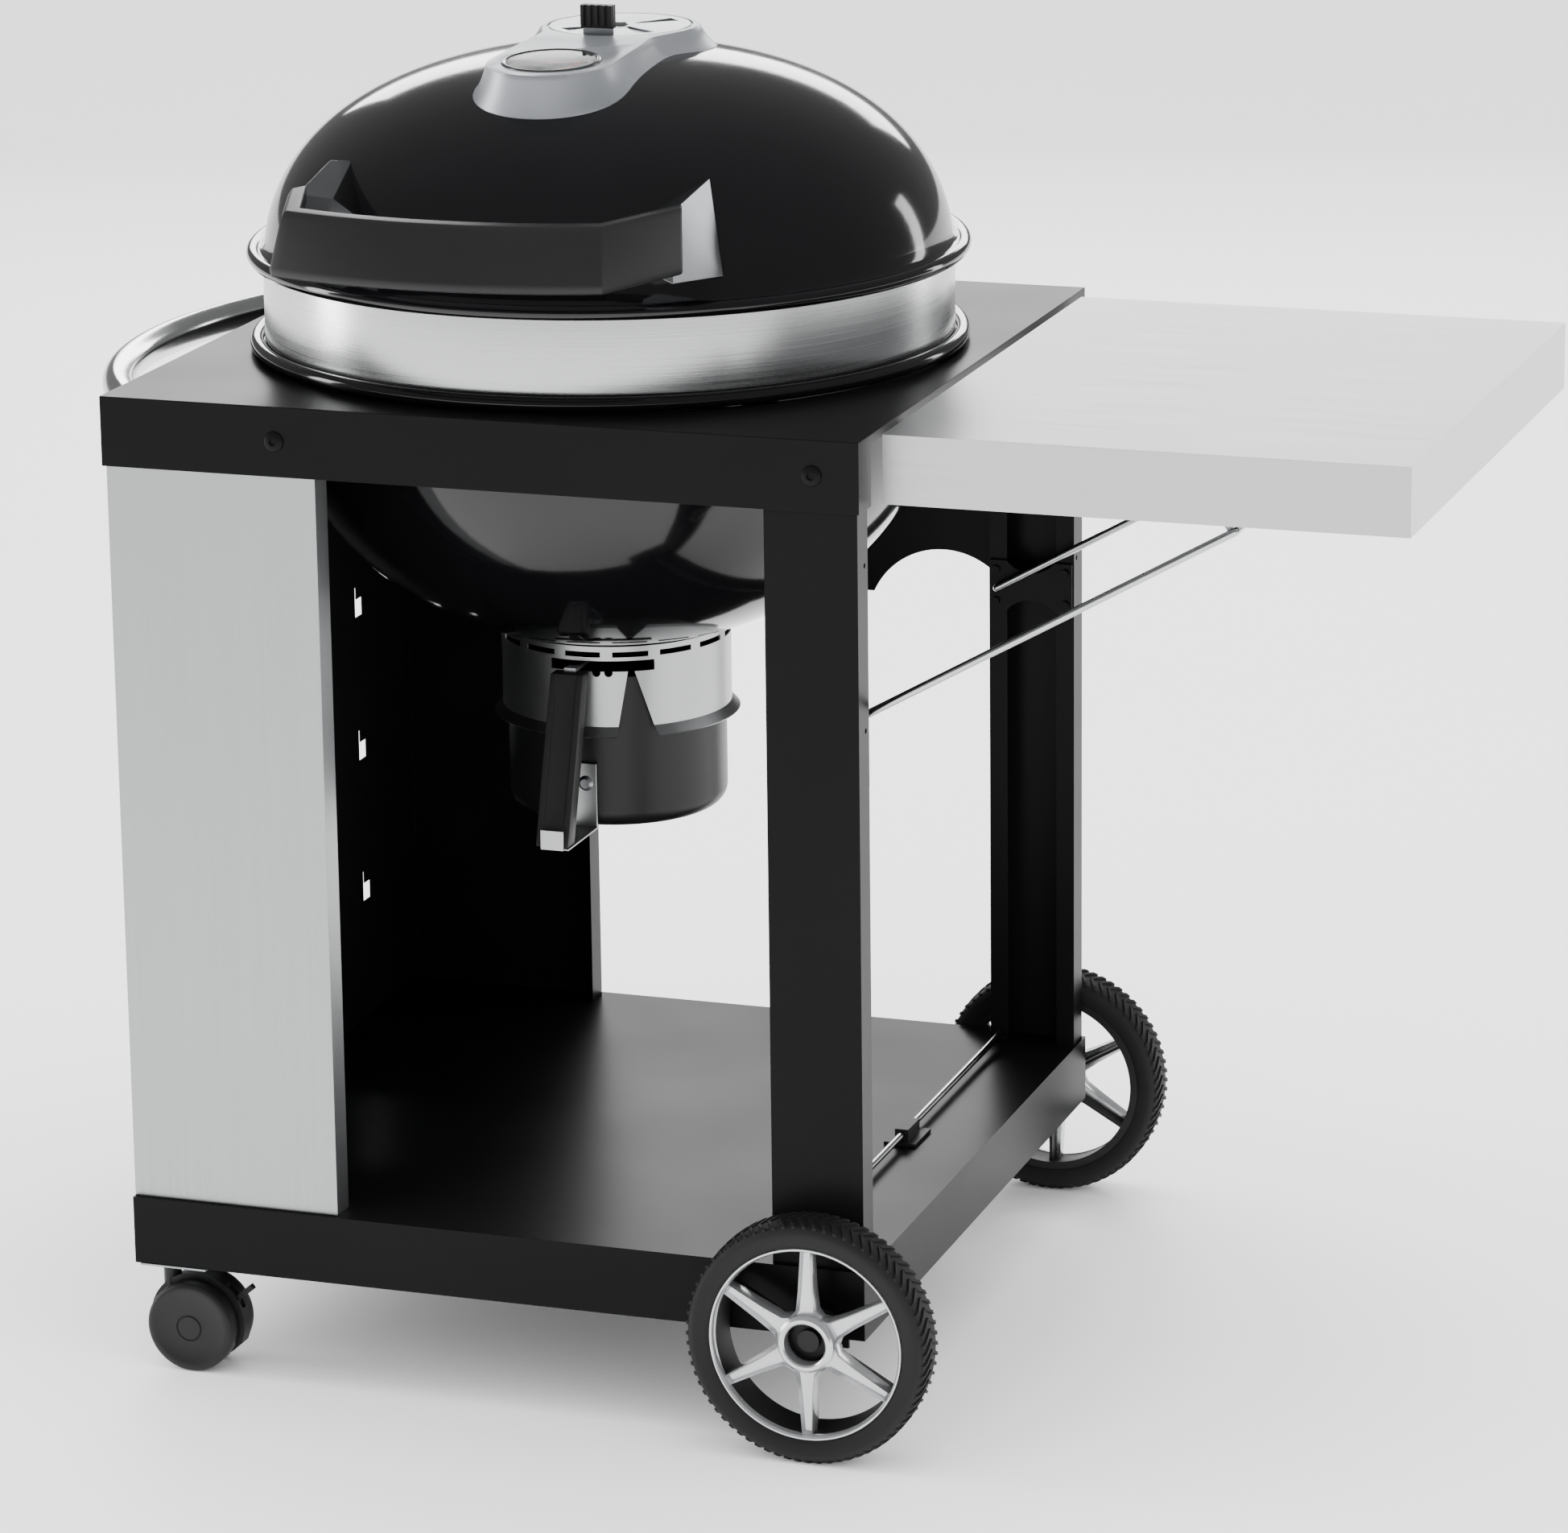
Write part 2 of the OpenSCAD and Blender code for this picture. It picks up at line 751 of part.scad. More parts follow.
// Rubber tyre about its own axis along Z
module tyre() {
    h = wheel_w / 2;
    color("#1c1d1e") rotate_extrude($fn = 120)
        polygon([[rim_r, -h + 1], [wheel_r - 6, -h], [wheel_r - 2.5, -h + 3], [wheel_r - 0.6, -h + 9],
            [wheel_r, -h + 15], [wheel_r, h - 15], [wheel_r - 0.6, h - 9],
            [wheel_r - 2.5, h - 3], [wheel_r - 6, h], [rim_r, h - 1]]);
}

// Six-spoke wheel with a deep hub; +Z is the outer face
module wheel_rim() {
    h = wheel_w / 2;
    color("#aeb1b4") difference() {
        union() {
            difference() {
                translate([0, 0, -h + 3]) cylinder(h = wheel_w - 4, r = rim_r);
                translate([0, 0, -h]) cylinder(h = wheel_w + 2, r = rim_r - 4);
            }
            translate([0, 0, -h + 0.4]) cylinder(h = wheel_w - 0.4, r = 24);
            for (a = [30:60:330]) rotate([0, 0, a]) translate([0, 0, -h + 8])
                linear_extrude(wheel_w - 12)
                    polygon([[16, -12], [34, -7.5], [rim_r - 2, -4], [rim_r - 2, 4], [34, 7.5], [16, 12]]);
        }
        translate([0, 0, -h - 1]) cylinder(h = wheel_w + 2, r = axle_r + 0.07);
        translate([0, 0, h - 18]) cylinder(h = 19, r = 17);
    }
}

// Places a wheel with its outer face to the front or to the back
module front_wheel() {
    translate([axle_x, front_wheel_y, wheel_r]) rotate([90, 0, 0]) children();
}

module rear_wheel() {
    translate([axle_x, rear_wheel_y, wheel_r]) rotate([-90, 0, 0]) children();
}

// ---- push handle ----

module push_handle() {
    sweep = asin((tube_end_y + 20) / tube_arc);
    color("#c6c8ca") difference() {
        translate([tube_cx, 0, tube_z]) rotate([0, 0, 180 - sweep])
            rotate_extrude(angle = 2 * sweep, $fn = 120) translate([tube_arc, 0]) difference() {
                circle(r = tube_r);
                circle(r = tube_r - 1.5);
            }
        block([left_x - flange_t, -400, tube_z - 30], [left_x + 120, 400, tube_z + 30]);
    }
}

module push_handle_flanges() {
    color("#2a2c2e") for (s = [-1, 1]) translate([left_x - flange_t, s * tube_end_y, tube_z])
        rotate([0, 90, 0]) cylinder(h = flange_t, r = 21);
}

// ---- side shelf ----

module side_shelf() {
    z0 = shelf_z - shelf_h;
    color("#cfd1d3") {
        difference() {
            block([shelf_x0, shelf_y0, z0], [shelf_x1, shelf_y1, shelf_z]);
            block([shelf_x0 - 1, shelf_y0 + thin, z0 - 1], [shelf_x1 - thin, shelf_y1 - thin, shelf_z - thin]);
        }
        for (y = hinge_ys) difference() {
            union() {
                y_rod(shelf_hinge_x, y - 1.5, y + 1.5, shelf_hinge_z, 4.6);
                block([shelf_hinge_x, y - 1.5, shelf_hinge_z - 4.6],
                    [shelf_hinge_x + 24, y + 1.5, shelf_z - thin - 0.01]);
                block([shelf_hinge_x + 2, y - 1.5, shelf_hinge_z], [shelf_hinge_x + 24, y + 1.5, shelf_z - thin]);
            }
            y_rod(shelf_hinge_x, y - 3, y + 3, shelf_hinge_z, shelf_pin_r + 0.05);
            block([shelf_hinge_x - 6, y - 3, shelf_hinge_z + 4.6], [shelf_hinge_x + 2, y + 3, shelf_z]);
        }
    }
}

module shelf_hinge_brackets() {
    color("#2a2c2e") for (y = hinge_ys) {
        for (s = [-5.5, 2.0]) difference() {
            along_y(y + s, y + s + 3.5) hull() {
                translate([shelf_hinge_x, shelf_hinge_z]) circle(r = 4.4, $fn = 32);
                translate([296, table_under - 20]) square([7, 20]);
            }
            y_rod(shelf_hinge_x, y + s - 1, y + s + 5, shelf_hinge_z, shelf_pin_r);
        }
        y_rod(shelf_hinge_x, y - 6.5, y + 6.5, shelf_hinge_z, shelf_pin_r);
    }
}

module shelf_catches() {
    gap = bail_wire + 0.5;
    color("#8d9092") for (y = [bail_y0 + 5, bail_y1 - 7.5]) along_y(y, y + 2.5)
        polygon([[bar_x - 20, shelf_z - thin], [bar_x + 18, shelf_z - thin], [bar_x + 18, bar_z + gap],
            [bar_x - gap, bar_z + gap], [bar_x - gap, bar_z - 6], [bar_x - 20, bar_z + 14]]);
}

module support_bail() {
    color("#b9bcbe") {
        for (y = [bail_y0, bail_y1]) translate([bail_x, y, bail_z]) rotate([0, 90 - bail_angle, 0])
            cylinder(h = bail_len, r = bail_wire);
        y_rod(bar_x, bail_y0, bail_y1, bar_z, bail_wire);
        y_rod(bail_x, leg_front_y + leg_depth - 4, bail_y0, bail_z, bail_wire);
        y_rod(bail_x, bail_y1, leg_back_y - leg_depth + 4, bail_z, bail_wire);
        for (y = [bail_y0, bail_y1]) {
            translate([bar_x, y, bar_z]) sphere(r = bail_wire);
            translate([bail_x, y, bail_z]) sphere(r = bail_wire);
        }
    }
}

// Waisted cast plate across the open side of a leg
module bail_plate() {
    difference() {
        along_y(0, 3.5) difference() {
            translate([leg_x0 + 1, bail_z - 22]) square([leg_w - 2, 44]);
            for (s = [-1, 1]) translate([(leg_x0 + leg_x1) / 2, bail_z + s * 40]) circle(r = 28);
        }
        y_rod(bail_x, -1, 5, bail_z, bail_wire + 0.06);
        for (x = [leg_x0 + 7, leg_x1 - 7], z = [bail_z - 14, bail_z + 14])
            y_rod(x, -1, 5, z, 1.6);
    }
}

module bail_brackets() {
    color("#17181a") {
        translate([0, leg_front_y + leg_depth, 0]) bail_plate();
        translate([0, leg_back_y - leg_depth - 3.5, 0]) bail_plate();
    }
}

module bail_bracket_screws() {
    front = leg_front_y + leg_depth + 3.5;
    back = leg_back_y - leg_depth - 3.5;
    color("#0d0e0f") for (x = [leg_x0 + 7, leg_x1 - 7], z = [bail_z - 14, bail_z + 14]) {
        y_rod(x, front, front + 3, z, 3.5);
        y_rod(x, front - 3.5, front, z, 1.6);
        y_rod(x, back - 3, back, z, 3.5);
        y_rod(x, back, back + 3.5, z, 1.6);
    }
}

module lower_rail() {
    color("#b9bcbe")
        y_rod(bail_x, leg_front_y + leg_depth, leg_back_y - leg_depth, base_z + 8, 3);
}

module rail_clip() {
    rail_z = base_z + 8;
    color("#101112") difference() {
        union() {
            block([bail_x - 14, -22, base_z], [bail_x + 14, 22, base_z + 3]);
            block([bail_x - 6, -16, base_z + 3], [bail_x + 6, 16, rail_z + 5]);
        }
        y_rod(bail_x, -30, 30, rail_z, 3);
    }
}

// ---- whole grill ----

at_origin() {
    bowl();
    stainless_band();
    bowl_brackets();
    grate_supports();
    charcoal_grate();
    cooking_grate();
    lid_hinge_base();
    lid_hinge_pin();
    ash_ring();
    lid_shell();
    vent_bezel();
    thermometer_case();
    thermometer_dial();
    thermometer_glass();
    thermometer_stem();
    thermometer_needle();
    lid_handle_grip();
    lid_handle_brackets();
    lid_hinge_leaf();
    damper_disc();
    damper_tab();
    damper_rivet();
    ash_pot();
    ash_strap();
    ash_grip();
    ash_rivets();
    vent_sweeper();
    table_top();
    table_bolts();
    front_panel();
    side_panel();
    rear_left_panel();
    front_right_leg();
    rear_right_leg();
    rear_apron();
    base_shelf();
    axle();
    axle_brackets();
    caster_mounts();
    push_handle();
    push_handle_flanges();
    shelf_hinge_brackets();
    bail_brackets();
    bail_bracket_screws();
    lower_rail();
    rail_clip();
    front_wheel() wheel_rim();  // front_wheel_rim
    front_wheel() tyre();  // front_tyre
    rear_wheel() wheel_rim();  // rear_wheel_rim
    rear_wheel() tyre();  // rear_tyre
    front_caster() caster_hood();  // front_caster_hood
    front_caster() caster_wheels();  // front_caster_wheels
    front_caster() caster_brake();  // front_caster_brake
    rear_caster() caster_hood();  // rear_caster_hood
    rear_caster() caster_wheels();  // rear_caster_wheels
    rear_caster() caster_brake();  // rear_caster_brake
    side_shelf();
    shelf_catches();
    support_bail();
}
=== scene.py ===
# %% [markdown]
# # A kettle grill on a rolling cart
# The exact model of the grill is already packed, so this lesson is about its surfaces. The folded
# steel, rods and hinges stay where they are and get their finishes. The pieces whose looks depend
# on soft edges or curved metal are modelled again over them: kettle, vents, handle, wheels and
# casters.

# %% Load the fixed frame
import bpy
import bmesh
import json
from math import cos, pi, radians, sin, sqrt
from mathutils import Matrix, Vector


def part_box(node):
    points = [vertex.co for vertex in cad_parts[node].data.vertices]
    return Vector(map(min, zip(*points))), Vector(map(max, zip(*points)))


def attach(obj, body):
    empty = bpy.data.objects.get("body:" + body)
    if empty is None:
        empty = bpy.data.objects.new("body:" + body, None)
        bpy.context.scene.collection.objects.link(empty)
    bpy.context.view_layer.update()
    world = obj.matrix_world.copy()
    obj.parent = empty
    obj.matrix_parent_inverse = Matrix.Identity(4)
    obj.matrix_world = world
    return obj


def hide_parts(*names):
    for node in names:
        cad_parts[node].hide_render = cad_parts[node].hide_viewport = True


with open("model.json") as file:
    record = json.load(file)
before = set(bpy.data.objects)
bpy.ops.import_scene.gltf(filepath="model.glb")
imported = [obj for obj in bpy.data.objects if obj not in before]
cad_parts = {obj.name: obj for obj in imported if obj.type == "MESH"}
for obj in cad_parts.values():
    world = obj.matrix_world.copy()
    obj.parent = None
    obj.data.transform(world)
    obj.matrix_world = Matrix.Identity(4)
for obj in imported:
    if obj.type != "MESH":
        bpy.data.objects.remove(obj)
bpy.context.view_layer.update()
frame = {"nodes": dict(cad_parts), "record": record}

# %% [markdown]
# The kettle's upright axis is the line everything is measured from. `spot` turns millimetres from
# that axis, with heights above the floor, into the frame's metres, so each number below can be read
# off a tape measure laid against the real grill.

# %% The kettle's axis and a way to place things from it
band_low, band_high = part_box("stainless_band")
kettle_x = (band_low.x + band_high.x) / 2
kettle_y = (band_low.y + band_high.y) / 2


def spot(x, y, z):
    return Vector((kettle_x + x / 1000, kettle_y + y / 1000, z / 1000))


print("kettle axis", round(kettle_x, 4), round(kettle_y, 4))

# %% [markdown]
# Finishes are written down as the hex codes a paint chart would use. Shaders need linear light, so
# one function converts them, and one adds a shader node with its settings and its links.

# %% Colour codes and shader nodes
def tint(code):
    parts = [int(code[i:i + 2], 16) / 255 for i in (1, 3, 5)]
    linear = [c / 12.92 if c <= 0.04045 else ((c + 0.055) / 1.055) ** 2.4 for c in parts]
    return (*linear, 1.0)


def add_node(tree, kind, links=None, **settings):
    made = tree.nodes.new(kind)
    for name, value in settings.items():
        setattr(made, name, value)
    for socket, source in (links or {}).items():
        if isinstance(source, tuple) and isinstance(source[0], bpy.types.Node):
            tree.links.new(source[0].outputs[source[1]], made.inputs[socket])
        else:
            made.inputs[socket].default_value = source
    return made


def new_finish(name, **shader_values):
    finish = bpy.data.materials.new(name)
    finish.use_nodes = True
    tree = finish.node_tree
    shader = tree.nodes["Principled BSDF"]
    for socket, value in shader_values.items():
        shader.inputs[socket.replace("_", " ")].default_value = value
    return finish, tree, shader


# %% [markdown]
# Porcelain enamel is glass fused onto steel. It gives the eye a deep black with a mirror-like skin
# that ripples slightly, like orange peel, with humps about 9 mm apart, and a very fine haze.

# %% Black vitreous enamel for the lid and the bowl
enamel, tree, shader = new_finish("black vitreous enamel", Metallic=0.0, Specular_IOR_Level=0.36,
                                  Coat_Weight=0.18, Coat_Roughness=0.05)
place = add_node(tree, "ShaderNodeTexCoord")
peel = add_node(tree, "ShaderNodeTexNoise", {"Vector": (place, "Object"), "Scale": 110.0,
                                             "Detail": 1.0})
haze = add_node(tree, "ShaderNodeTexNoise", {"Vector": (place, "Object"), "Scale": 9.0,
                                             "Detail": 4.0})
polish = add_node(tree, "ShaderNodeMapRange", {"Value": (haze, "Fac"), "To Min": 0.07,
                                               "To Max": 0.13})
depth = add_node(tree, "ShaderNodeMix", {0: (haze, "Fac"), 6: tint("#060607"),
                                         7: tint("#0b0b0d")}, data_type="RGBA")
ripple = add_node(tree, "ShaderNodeBump", {"Height": (peel, "Fac"), "Strength": 0.05,
                                           "Distance": 0.0006})
tree.links.new(depth.outputs[2], shader.inputs["Base Color"])
tree.links.new(polish.outputs[0], shader.inputs["Roughness"])
tree.links.new(ripple.outputs[0], shader.inputs["Normal"])
print(enamel.name)

# %% [markdown]
# Powder coat is a baked resin. On this cart it is black and satin: reflections are wide and soft,
# and close up the skin has a pebbled grain. The real grain is about half a millimetre, drawn here
# at 2 mm so that it still shows.

# %% Satin black powder coat for the cart
def satin_coat(name, dark, light, low, high, grain_mm=2.0, bump=0.06, sheen=0.28):
    finish, tree, shader = new_finish(name, Metallic=0.0, Specular_IOR_Level=sheen)
    place = add_node(tree, "ShaderNodeTexCoord")
    grain = add_node(tree, "ShaderNodeTexNoise", {"Vector": (place, "Object"),
                                                  "Scale": 1000 / grain_mm, "Detail": 2.0})
    cloud = add_node(tree, "ShaderNodeTexNoise", {"Vector": (place, "Object"), "Scale": 6.0,
                                                  "Detail": 3.0})
    gloss = add_node(tree, "ShaderNodeMapRange", {"Value": (cloud, "Fac"), "To Min": low,
                                                  "To Max": high})
    shade = add_node(tree, "ShaderNodeMix", {0: (cloud, "Fac"), 6: tint(dark), 7: tint(light)},
                     data_type="RGBA")
    pebble = add_node(tree, "ShaderNodeBump", {"Height": (grain, "Fac"), "Strength": bump,
                                               "Distance": 0.0004})
    tree.links.new(shade.outputs[2], shader.inputs["Base Color"])
    tree.links.new(gloss.outputs[0], shader.inputs["Roughness"])
    tree.links.new(pebble.outputs[0], shader.inputs["Normal"])
    return finish


powder_coat = satin_coat("satin black powder coat", "#0a0a0b", "#101011", 0.3, 0.4, sheen=0.08)
pot_coat = satin_coat("heat-proof black coat", "#0e0e0f", "#161617", 0.32, 0.44)
moulded_black = satin_coat("moulded black nylon", "#141415", "#1b1b1c", 0.4, 0.52, 1.4, 0.12)
tyre_rubber = satin_coat("black tyre rubber", "#111112", "#1a1a1b", 0.6, 0.75, 1.8, 0.15)
print(powder_coat.name, pot_coat.name, moulded_black.name, tyre_rubber.name)

# %% [markdown]
# Brushed stainless is scratched in one direction by an abrasive belt. The scratches run a long way
# along the belt and are very narrow across it, so the pattern is noise stretched along one axis.
# Real scratches are a tenth of a millimetre wide and are drawn about 1 mm wide here.

# %% Brushed stainless steel, with its grain along a chosen direction
def brushed_steel(name, stretch, dark, light, low=0.26, high=0.4, bump=0.05):
    finish, tree, shader = new_finish(name, Metallic=1.0)
    place = add_node(tree, "ShaderNodeTexCoord")
    grain = add_node(tree, "ShaderNodeMapping", {"Vector": (place, "Object"), "Scale": stretch})
    lines = add_node(tree, "ShaderNodeTexNoise", {"Vector": (grain, "Vector"), "Scale": 1.0,
                                                  "Detail": 3.0, "Roughness": 0.6})
    cloud = add_node(tree, "ShaderNodeTexNoise", {"Vector": (place, "Object"), "Scale": 5.0,
                                                  "Detail": 2.0})
    blend = add_node(tree, "ShaderNodeMix", {0: 0.3, 2: (lines, "Fac"), 3: (cloud, "Fac")})
    gloss = add_node(tree, "ShaderNodeMapRange", {"Value": (lines, "Fac"), "From Min": 0.3,
                                                  "From Max": 0.7, "To Min": low, "To Max": high})
    shade = add_node(tree, "ShaderNodeMix", {0: (blend, 0), 6: tint(dark), 7: tint(light)},
                     data_type="RGBA")
    score = add_node(tree, "ShaderNodeBump", {"Height": (lines, "Fac"), "Strength": bump,
                                              "Distance": 0.0004})
    tree.links.new(shade.outputs[2], shader.inputs["Base Color"])
    tree.links.new(gloss.outputs[0], shader.inputs["Roughness"])
    tree.links.new(score.outputs[0], shader.inputs["Normal"])
    return finish


ring_brushed = brushed_steel("stainless brushed around", (3, 3, 1100), "#bebfc0", "#cfd0d1",
                             0.22, 0.3, 0.12)
upright_brushed = brushed_steel("stainless brushed upright", (900, 900, 4), "#a2a4a5", "#b0b1b2",
                                0.34, 0.46, 0.03)
shelf_brushed = brushed_steel("stainless brushed along the shelf", (5, 900, 900), "#c9cacb",
                              "#d6d6d7", 0.36, 0.46, 0.03)
print(ring_brushed.name, upright_brushed.name, shelf_brushed.name)

# %% [markdown]
# The other metals are smoother. A polished tube and chrome plate show clear reflections; nickelled
# wire and zinc are a little greyer and softer; the silver paint on the vent cover and spokes has
# fine flakes, so it is a duller metal with a light grain.

# %% Polished, plated and painted metals
def bright_metal(name, dark, light, low, high, metallic=1.0, grain_mm=1.5, bump=0.02):
    finish, tree, shader = new_finish(name, Metallic=metallic)
    place = add_node(tree, "ShaderNodeTexCoord")
    cloud = add_node(tree, "ShaderNodeTexNoise", {"Vector": (place, "Object"), "Scale": 30.0,
                                                  "Detail": 3.0})
    grain = add_node(tree, "ShaderNodeTexNoise", {"Vector": (place, "Object"),
                                                  "Scale": 1000 / grain_mm, "Detail": 1.0})
    gloss = add_node(tree, "ShaderNodeMapRange", {"Value": (cloud, "Fac"), "To Min": low,
                                                  "To Max": high})
    shade = add_node(tree, "ShaderNodeMix", {0: (cloud, "Fac"), 6: tint(dark), 7: tint(light)},
                     data_type="RGBA")
    fleck = add_node(tree, "ShaderNodeBump", {"Height": (grain, "Fac"), "Strength": bump,
                                              "Distance": 0.0003})
    tree.links.new(shade.outputs[2], shader.inputs["Base Color"])
    tree.links.new(gloss.outputs[0], shader.inputs["Roughness"])
    tree.links.new(fleck.outputs[0], shader.inputs["Normal"])
    return finish


polished_tube = bright_metal("polished stainless tube", "#b9babb", "#cbcccd", 0.12, 0.2)
chrome_plate = bright_metal("dark chrome plate", "#7d7f81", "#8b8d90", 0.2, 0.28)
nickel_wire = bright_metal("nickelled wire", "#b2b3b4", "#c6c7c8", 0.16, 0.26)
zinc_plate = bright_metal("zinc plate", "#8d9093", "#a3a6a9", 0.3, 0.42)
silver_paint = bright_metal("silver metallic paint", "#8f9297", "#9ea1a6", 0.34, 0.42,
                            0.75, 1.2, 0.05)
spoke_silver = bright_metal("silver lacquered spokes", "#c4c5c7", "#d2d3d5", 0.2, 0.28,
                            0.85, 1.2, 0.03)
sheet_aluminium = bright_metal("aluminium sheet", "#a9acae", "#bfc1c3", 0.3, 0.42)
satin_stainless = bright_metal("satin stainless sheet", "#acadae", "#babbbc", 0.33, 0.41)
print(polished_tube.name, chrome_plate.name, nickel_wire.name, silver_paint.name)

# %% [markdown]
# The small dial has its own three finishes: a black printed face, a red lacquered pointer and a
# clear flat glass.

# %% Dial face, pointer and glass
dial_black = satin_coat("printed dial face", "#0d0d0e", "#121213", 0.45, 0.55)
dial_white = satin_coat("white dial print", "#c9c9c6", "#dededb", 0.5, 0.6)
pointer_red = satin_coat("red pointer lacquer", "#a5281c", "#b83225", 0.3, 0.4)
dial_glass, tree, shader = new_finish("flat dial glass", Roughness=0.03, IOR=1.12,
                                      Transmission_Weight=1.0)
place = add_node(tree, "ShaderNodeTexCoord")
smear = add_node(tree, "ShaderNodeTexNoise", {"Vector": (place, "Object"), "Scale": 40.0})
clarity = add_node(tree, "ShaderNodeMapRange", {"Value": (smear, "Fac"), "To Min": 0.01,
                                                "To Max": 0.05})
tree.links.new(clarity.outputs[0], shader.inputs["Roughness"])

# %% [markdown]
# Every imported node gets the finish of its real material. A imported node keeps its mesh, so only its
# material slots change.

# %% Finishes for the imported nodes
finish_of_slot = {
    "black_enamel": enamel, "black_powder_coat": powder_coat, "brushed_stainless": ring_brushed,
    "polished_stainless": polished_tube, "silver_paint": silver_paint,
    "silver_spokes": spoke_silver, "chromed_steel": chrome_plate, "plated_wire": nickel_wire,
    "zinc_steel": zinc_plate, "aluminium_vane": sheet_aluminium,
    "aluminium_disc": sheet_aluminium, "matte_black_plastic": moulded_black,
    "dial_print": dial_black, "needle_red": pointer_red, "dial_glass": dial_glass,
    "tyre_rubber": tyre_rubber, "pot_coat": pot_coat}
special_finish = {"front_panel": upright_brushed, "side_shelf": shelf_brushed, "axle": pot_coat,
                  "ash_ring": satin_stainless, "ash_strap": satin_stainless}
slot_of_node = {part["node"]: part["material_slot"] for part in frame["record"]["subparts"]}
body_of_node = {n: body for body, nodes in frame["record"]["behaviour"]["bodies"].items()
                for n in nodes}


def finish_for(node):
    return special_finish.get(node, finish_of_slot[slot_of_node[node]])


for node, cad_piece in frame["nodes"].items():
    cad_piece.data.materials.clear()
    cad_piece.data.materials.append(finish_for(node))
print(len(frame["nodes"]), "nodes dressed")

# %% [markdown]
# Folded sheet and moulded plastic never have knife edges: a bend keeps a small radius, and that
# radius is what catches the light along each edge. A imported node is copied, its loose triangles
# are welded into faces, and a bevel rounds its edges.

# %% Rounding the edges of a copy
def clear_selection():
    if bpy.context.mode != "OBJECT":
        bpy.ops.object.mode_set(mode="OBJECT")
    bpy.ops.object.select_all(action="DESELECT")


def take(piece):
    clear_selection()
    piece.select_set(True)
    bpy.context.view_layer.objects.active = piece


def hand_over(piece, node, finish=None, smooth=35):
    take(piece)
    bpy.ops.object.transform_apply(location=True, rotation=True, scale=True)
    bpy.ops.object.shade_smooth_by_angle(angle=radians(smooth))
    piece.data.materials.clear()
    piece.data.materials.append(finish or finish_for(node))
    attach(piece, body_of_node[node])
    return piece


def rounded(node, edge_mm, segments=2, finish=None, smooth=35, sharp=30):
    clear_selection()
    piece = frame["nodes"][node].copy()
    piece.data = frame["nodes"][node].data.copy()
    piece.name = node + "_rounded"
    bpy.context.scene.collection.objects.link(piece)
    piece.parent = None
    piece.matrix_world = Matrix()
    take(piece)
    bpy.ops.mesh.customdata_custom_splitnormals_clear()
    bpy.ops.object.mode_set(mode="EDIT")
    bpy.ops.mesh.select_all(action="SELECT")
    bpy.ops.mesh.remove_doubles(threshold=0.00002)
    bpy.ops.mesh.dissolve_limited(angle_limit=radians(0.6))
    bpy.ops.object.mode_set(mode="OBJECT")
    edge = piece.modifiers.new("edge", "BEVEL")
    edge.width = edge_mm / 1000
    edge.segments = segments
    edge.limit_method = "ANGLE"
    edge.angle_limit = radians(sharp)
    bpy.ops.object.modifier_apply(modifier=edge.name)
    hand_over(piece, node, finish, smooth)
    even = piece.modifiers.new("even_shading", "WEIGHTED_NORMAL")
    even.keep_sharp = True
    take(piece)
    bpy.ops.object.modifier_apply(modifier=even.name)
    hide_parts(node)
    return piece


for node, edge_mm in (("table_top", 0.7), ("base_shelf", 0.7), ("front_panel", 0.5),
                      ("side_panel", 0.45), ("rear_left_panel", 0.45), ("front_right_leg", 0.5),
                      ("rear_right_leg", 0.5), ("rear_apron", 0.4), ("side_shelf", 0.5),
                      ("lid_handle_brackets", 1.2), ("damper_tab", 0.9), ("bail_brackets", 0.8),
                      ("ash_strap", 0.5)):
    made = rounded(node, edge_mm)
    print(made.name, len(made.data.polygons), "faces")

# %% [markdown]
# Round pieces are turned, as on a lathe: one outline is drawn as a chain of points and spun about
# its axis. `turn` starts from a plane merged to a point, extrudes it along the outline, spins the
# chain and welds the seam.

# %% Turning a round piece from its outline
AXES = {"X": Vector((1, 0, 0)), "Y": Vector((0, 1, 0)), "Z": Vector((0, 0, 1))}
OUTWARD = {"X": Vector((0, 0, 1)), "Y": Vector((0, 0, 1)), "Z": Vector((1, 0, 0))}


def turn(name, outline, centre, axis="Z", steps=96):
    def on_outline(point):
        return centre + OUTWARD[axis] * point[0] / 1000 + AXES[axis] * point[1] / 1000

    clear_selection()
    bpy.ops.mesh.primitive_plane_add(size=0.0005, location=on_outline(outline[0]))
    piece = bpy.context.object
    piece.name = name
    bpy.ops.object.mode_set(mode="EDIT")
    bpy.ops.mesh.select_mode(type="VERT")
    bpy.ops.mesh.select_all(action="SELECT")
    bpy.ops.mesh.merge(type="CENTER")
    for last, here in zip(outline, outline[1:]):
        step = on_outline(here) - on_outline(last)
        bpy.ops.mesh.extrude_vertices_move(TRANSFORM_OT_translate={"value": step})
    bpy.ops.mesh.select_all(action="SELECT")
    bpy.ops.mesh.spin(steps=steps, angle=2 * pi, center=centre, axis=AXES[axis])
    bpy.ops.mesh.select_all(action="SELECT")
    bpy.ops.mesh.remove_doubles(threshold=0.000004)
    bpy.ops.mesh.normals_make_consistent(inside=False)
    bpy.ops.object.mode_set(mode="OBJECT")
    return piece


def bend(cx, cy, radius, start, end, count):
    return [(cx + radius * cos(radians(start + (end - start) * i / count)),
             cy + radius * sin(radians(start + (end - start) * i / count)))
            for i in range(count + 1)]


# %% [markdown]
# The lid is one deep-drawn dome. Its side rises almost straight and then rounds over, which an
# ellipse with a power above two describes. At the bottom the steel turns out into a rolled bead.

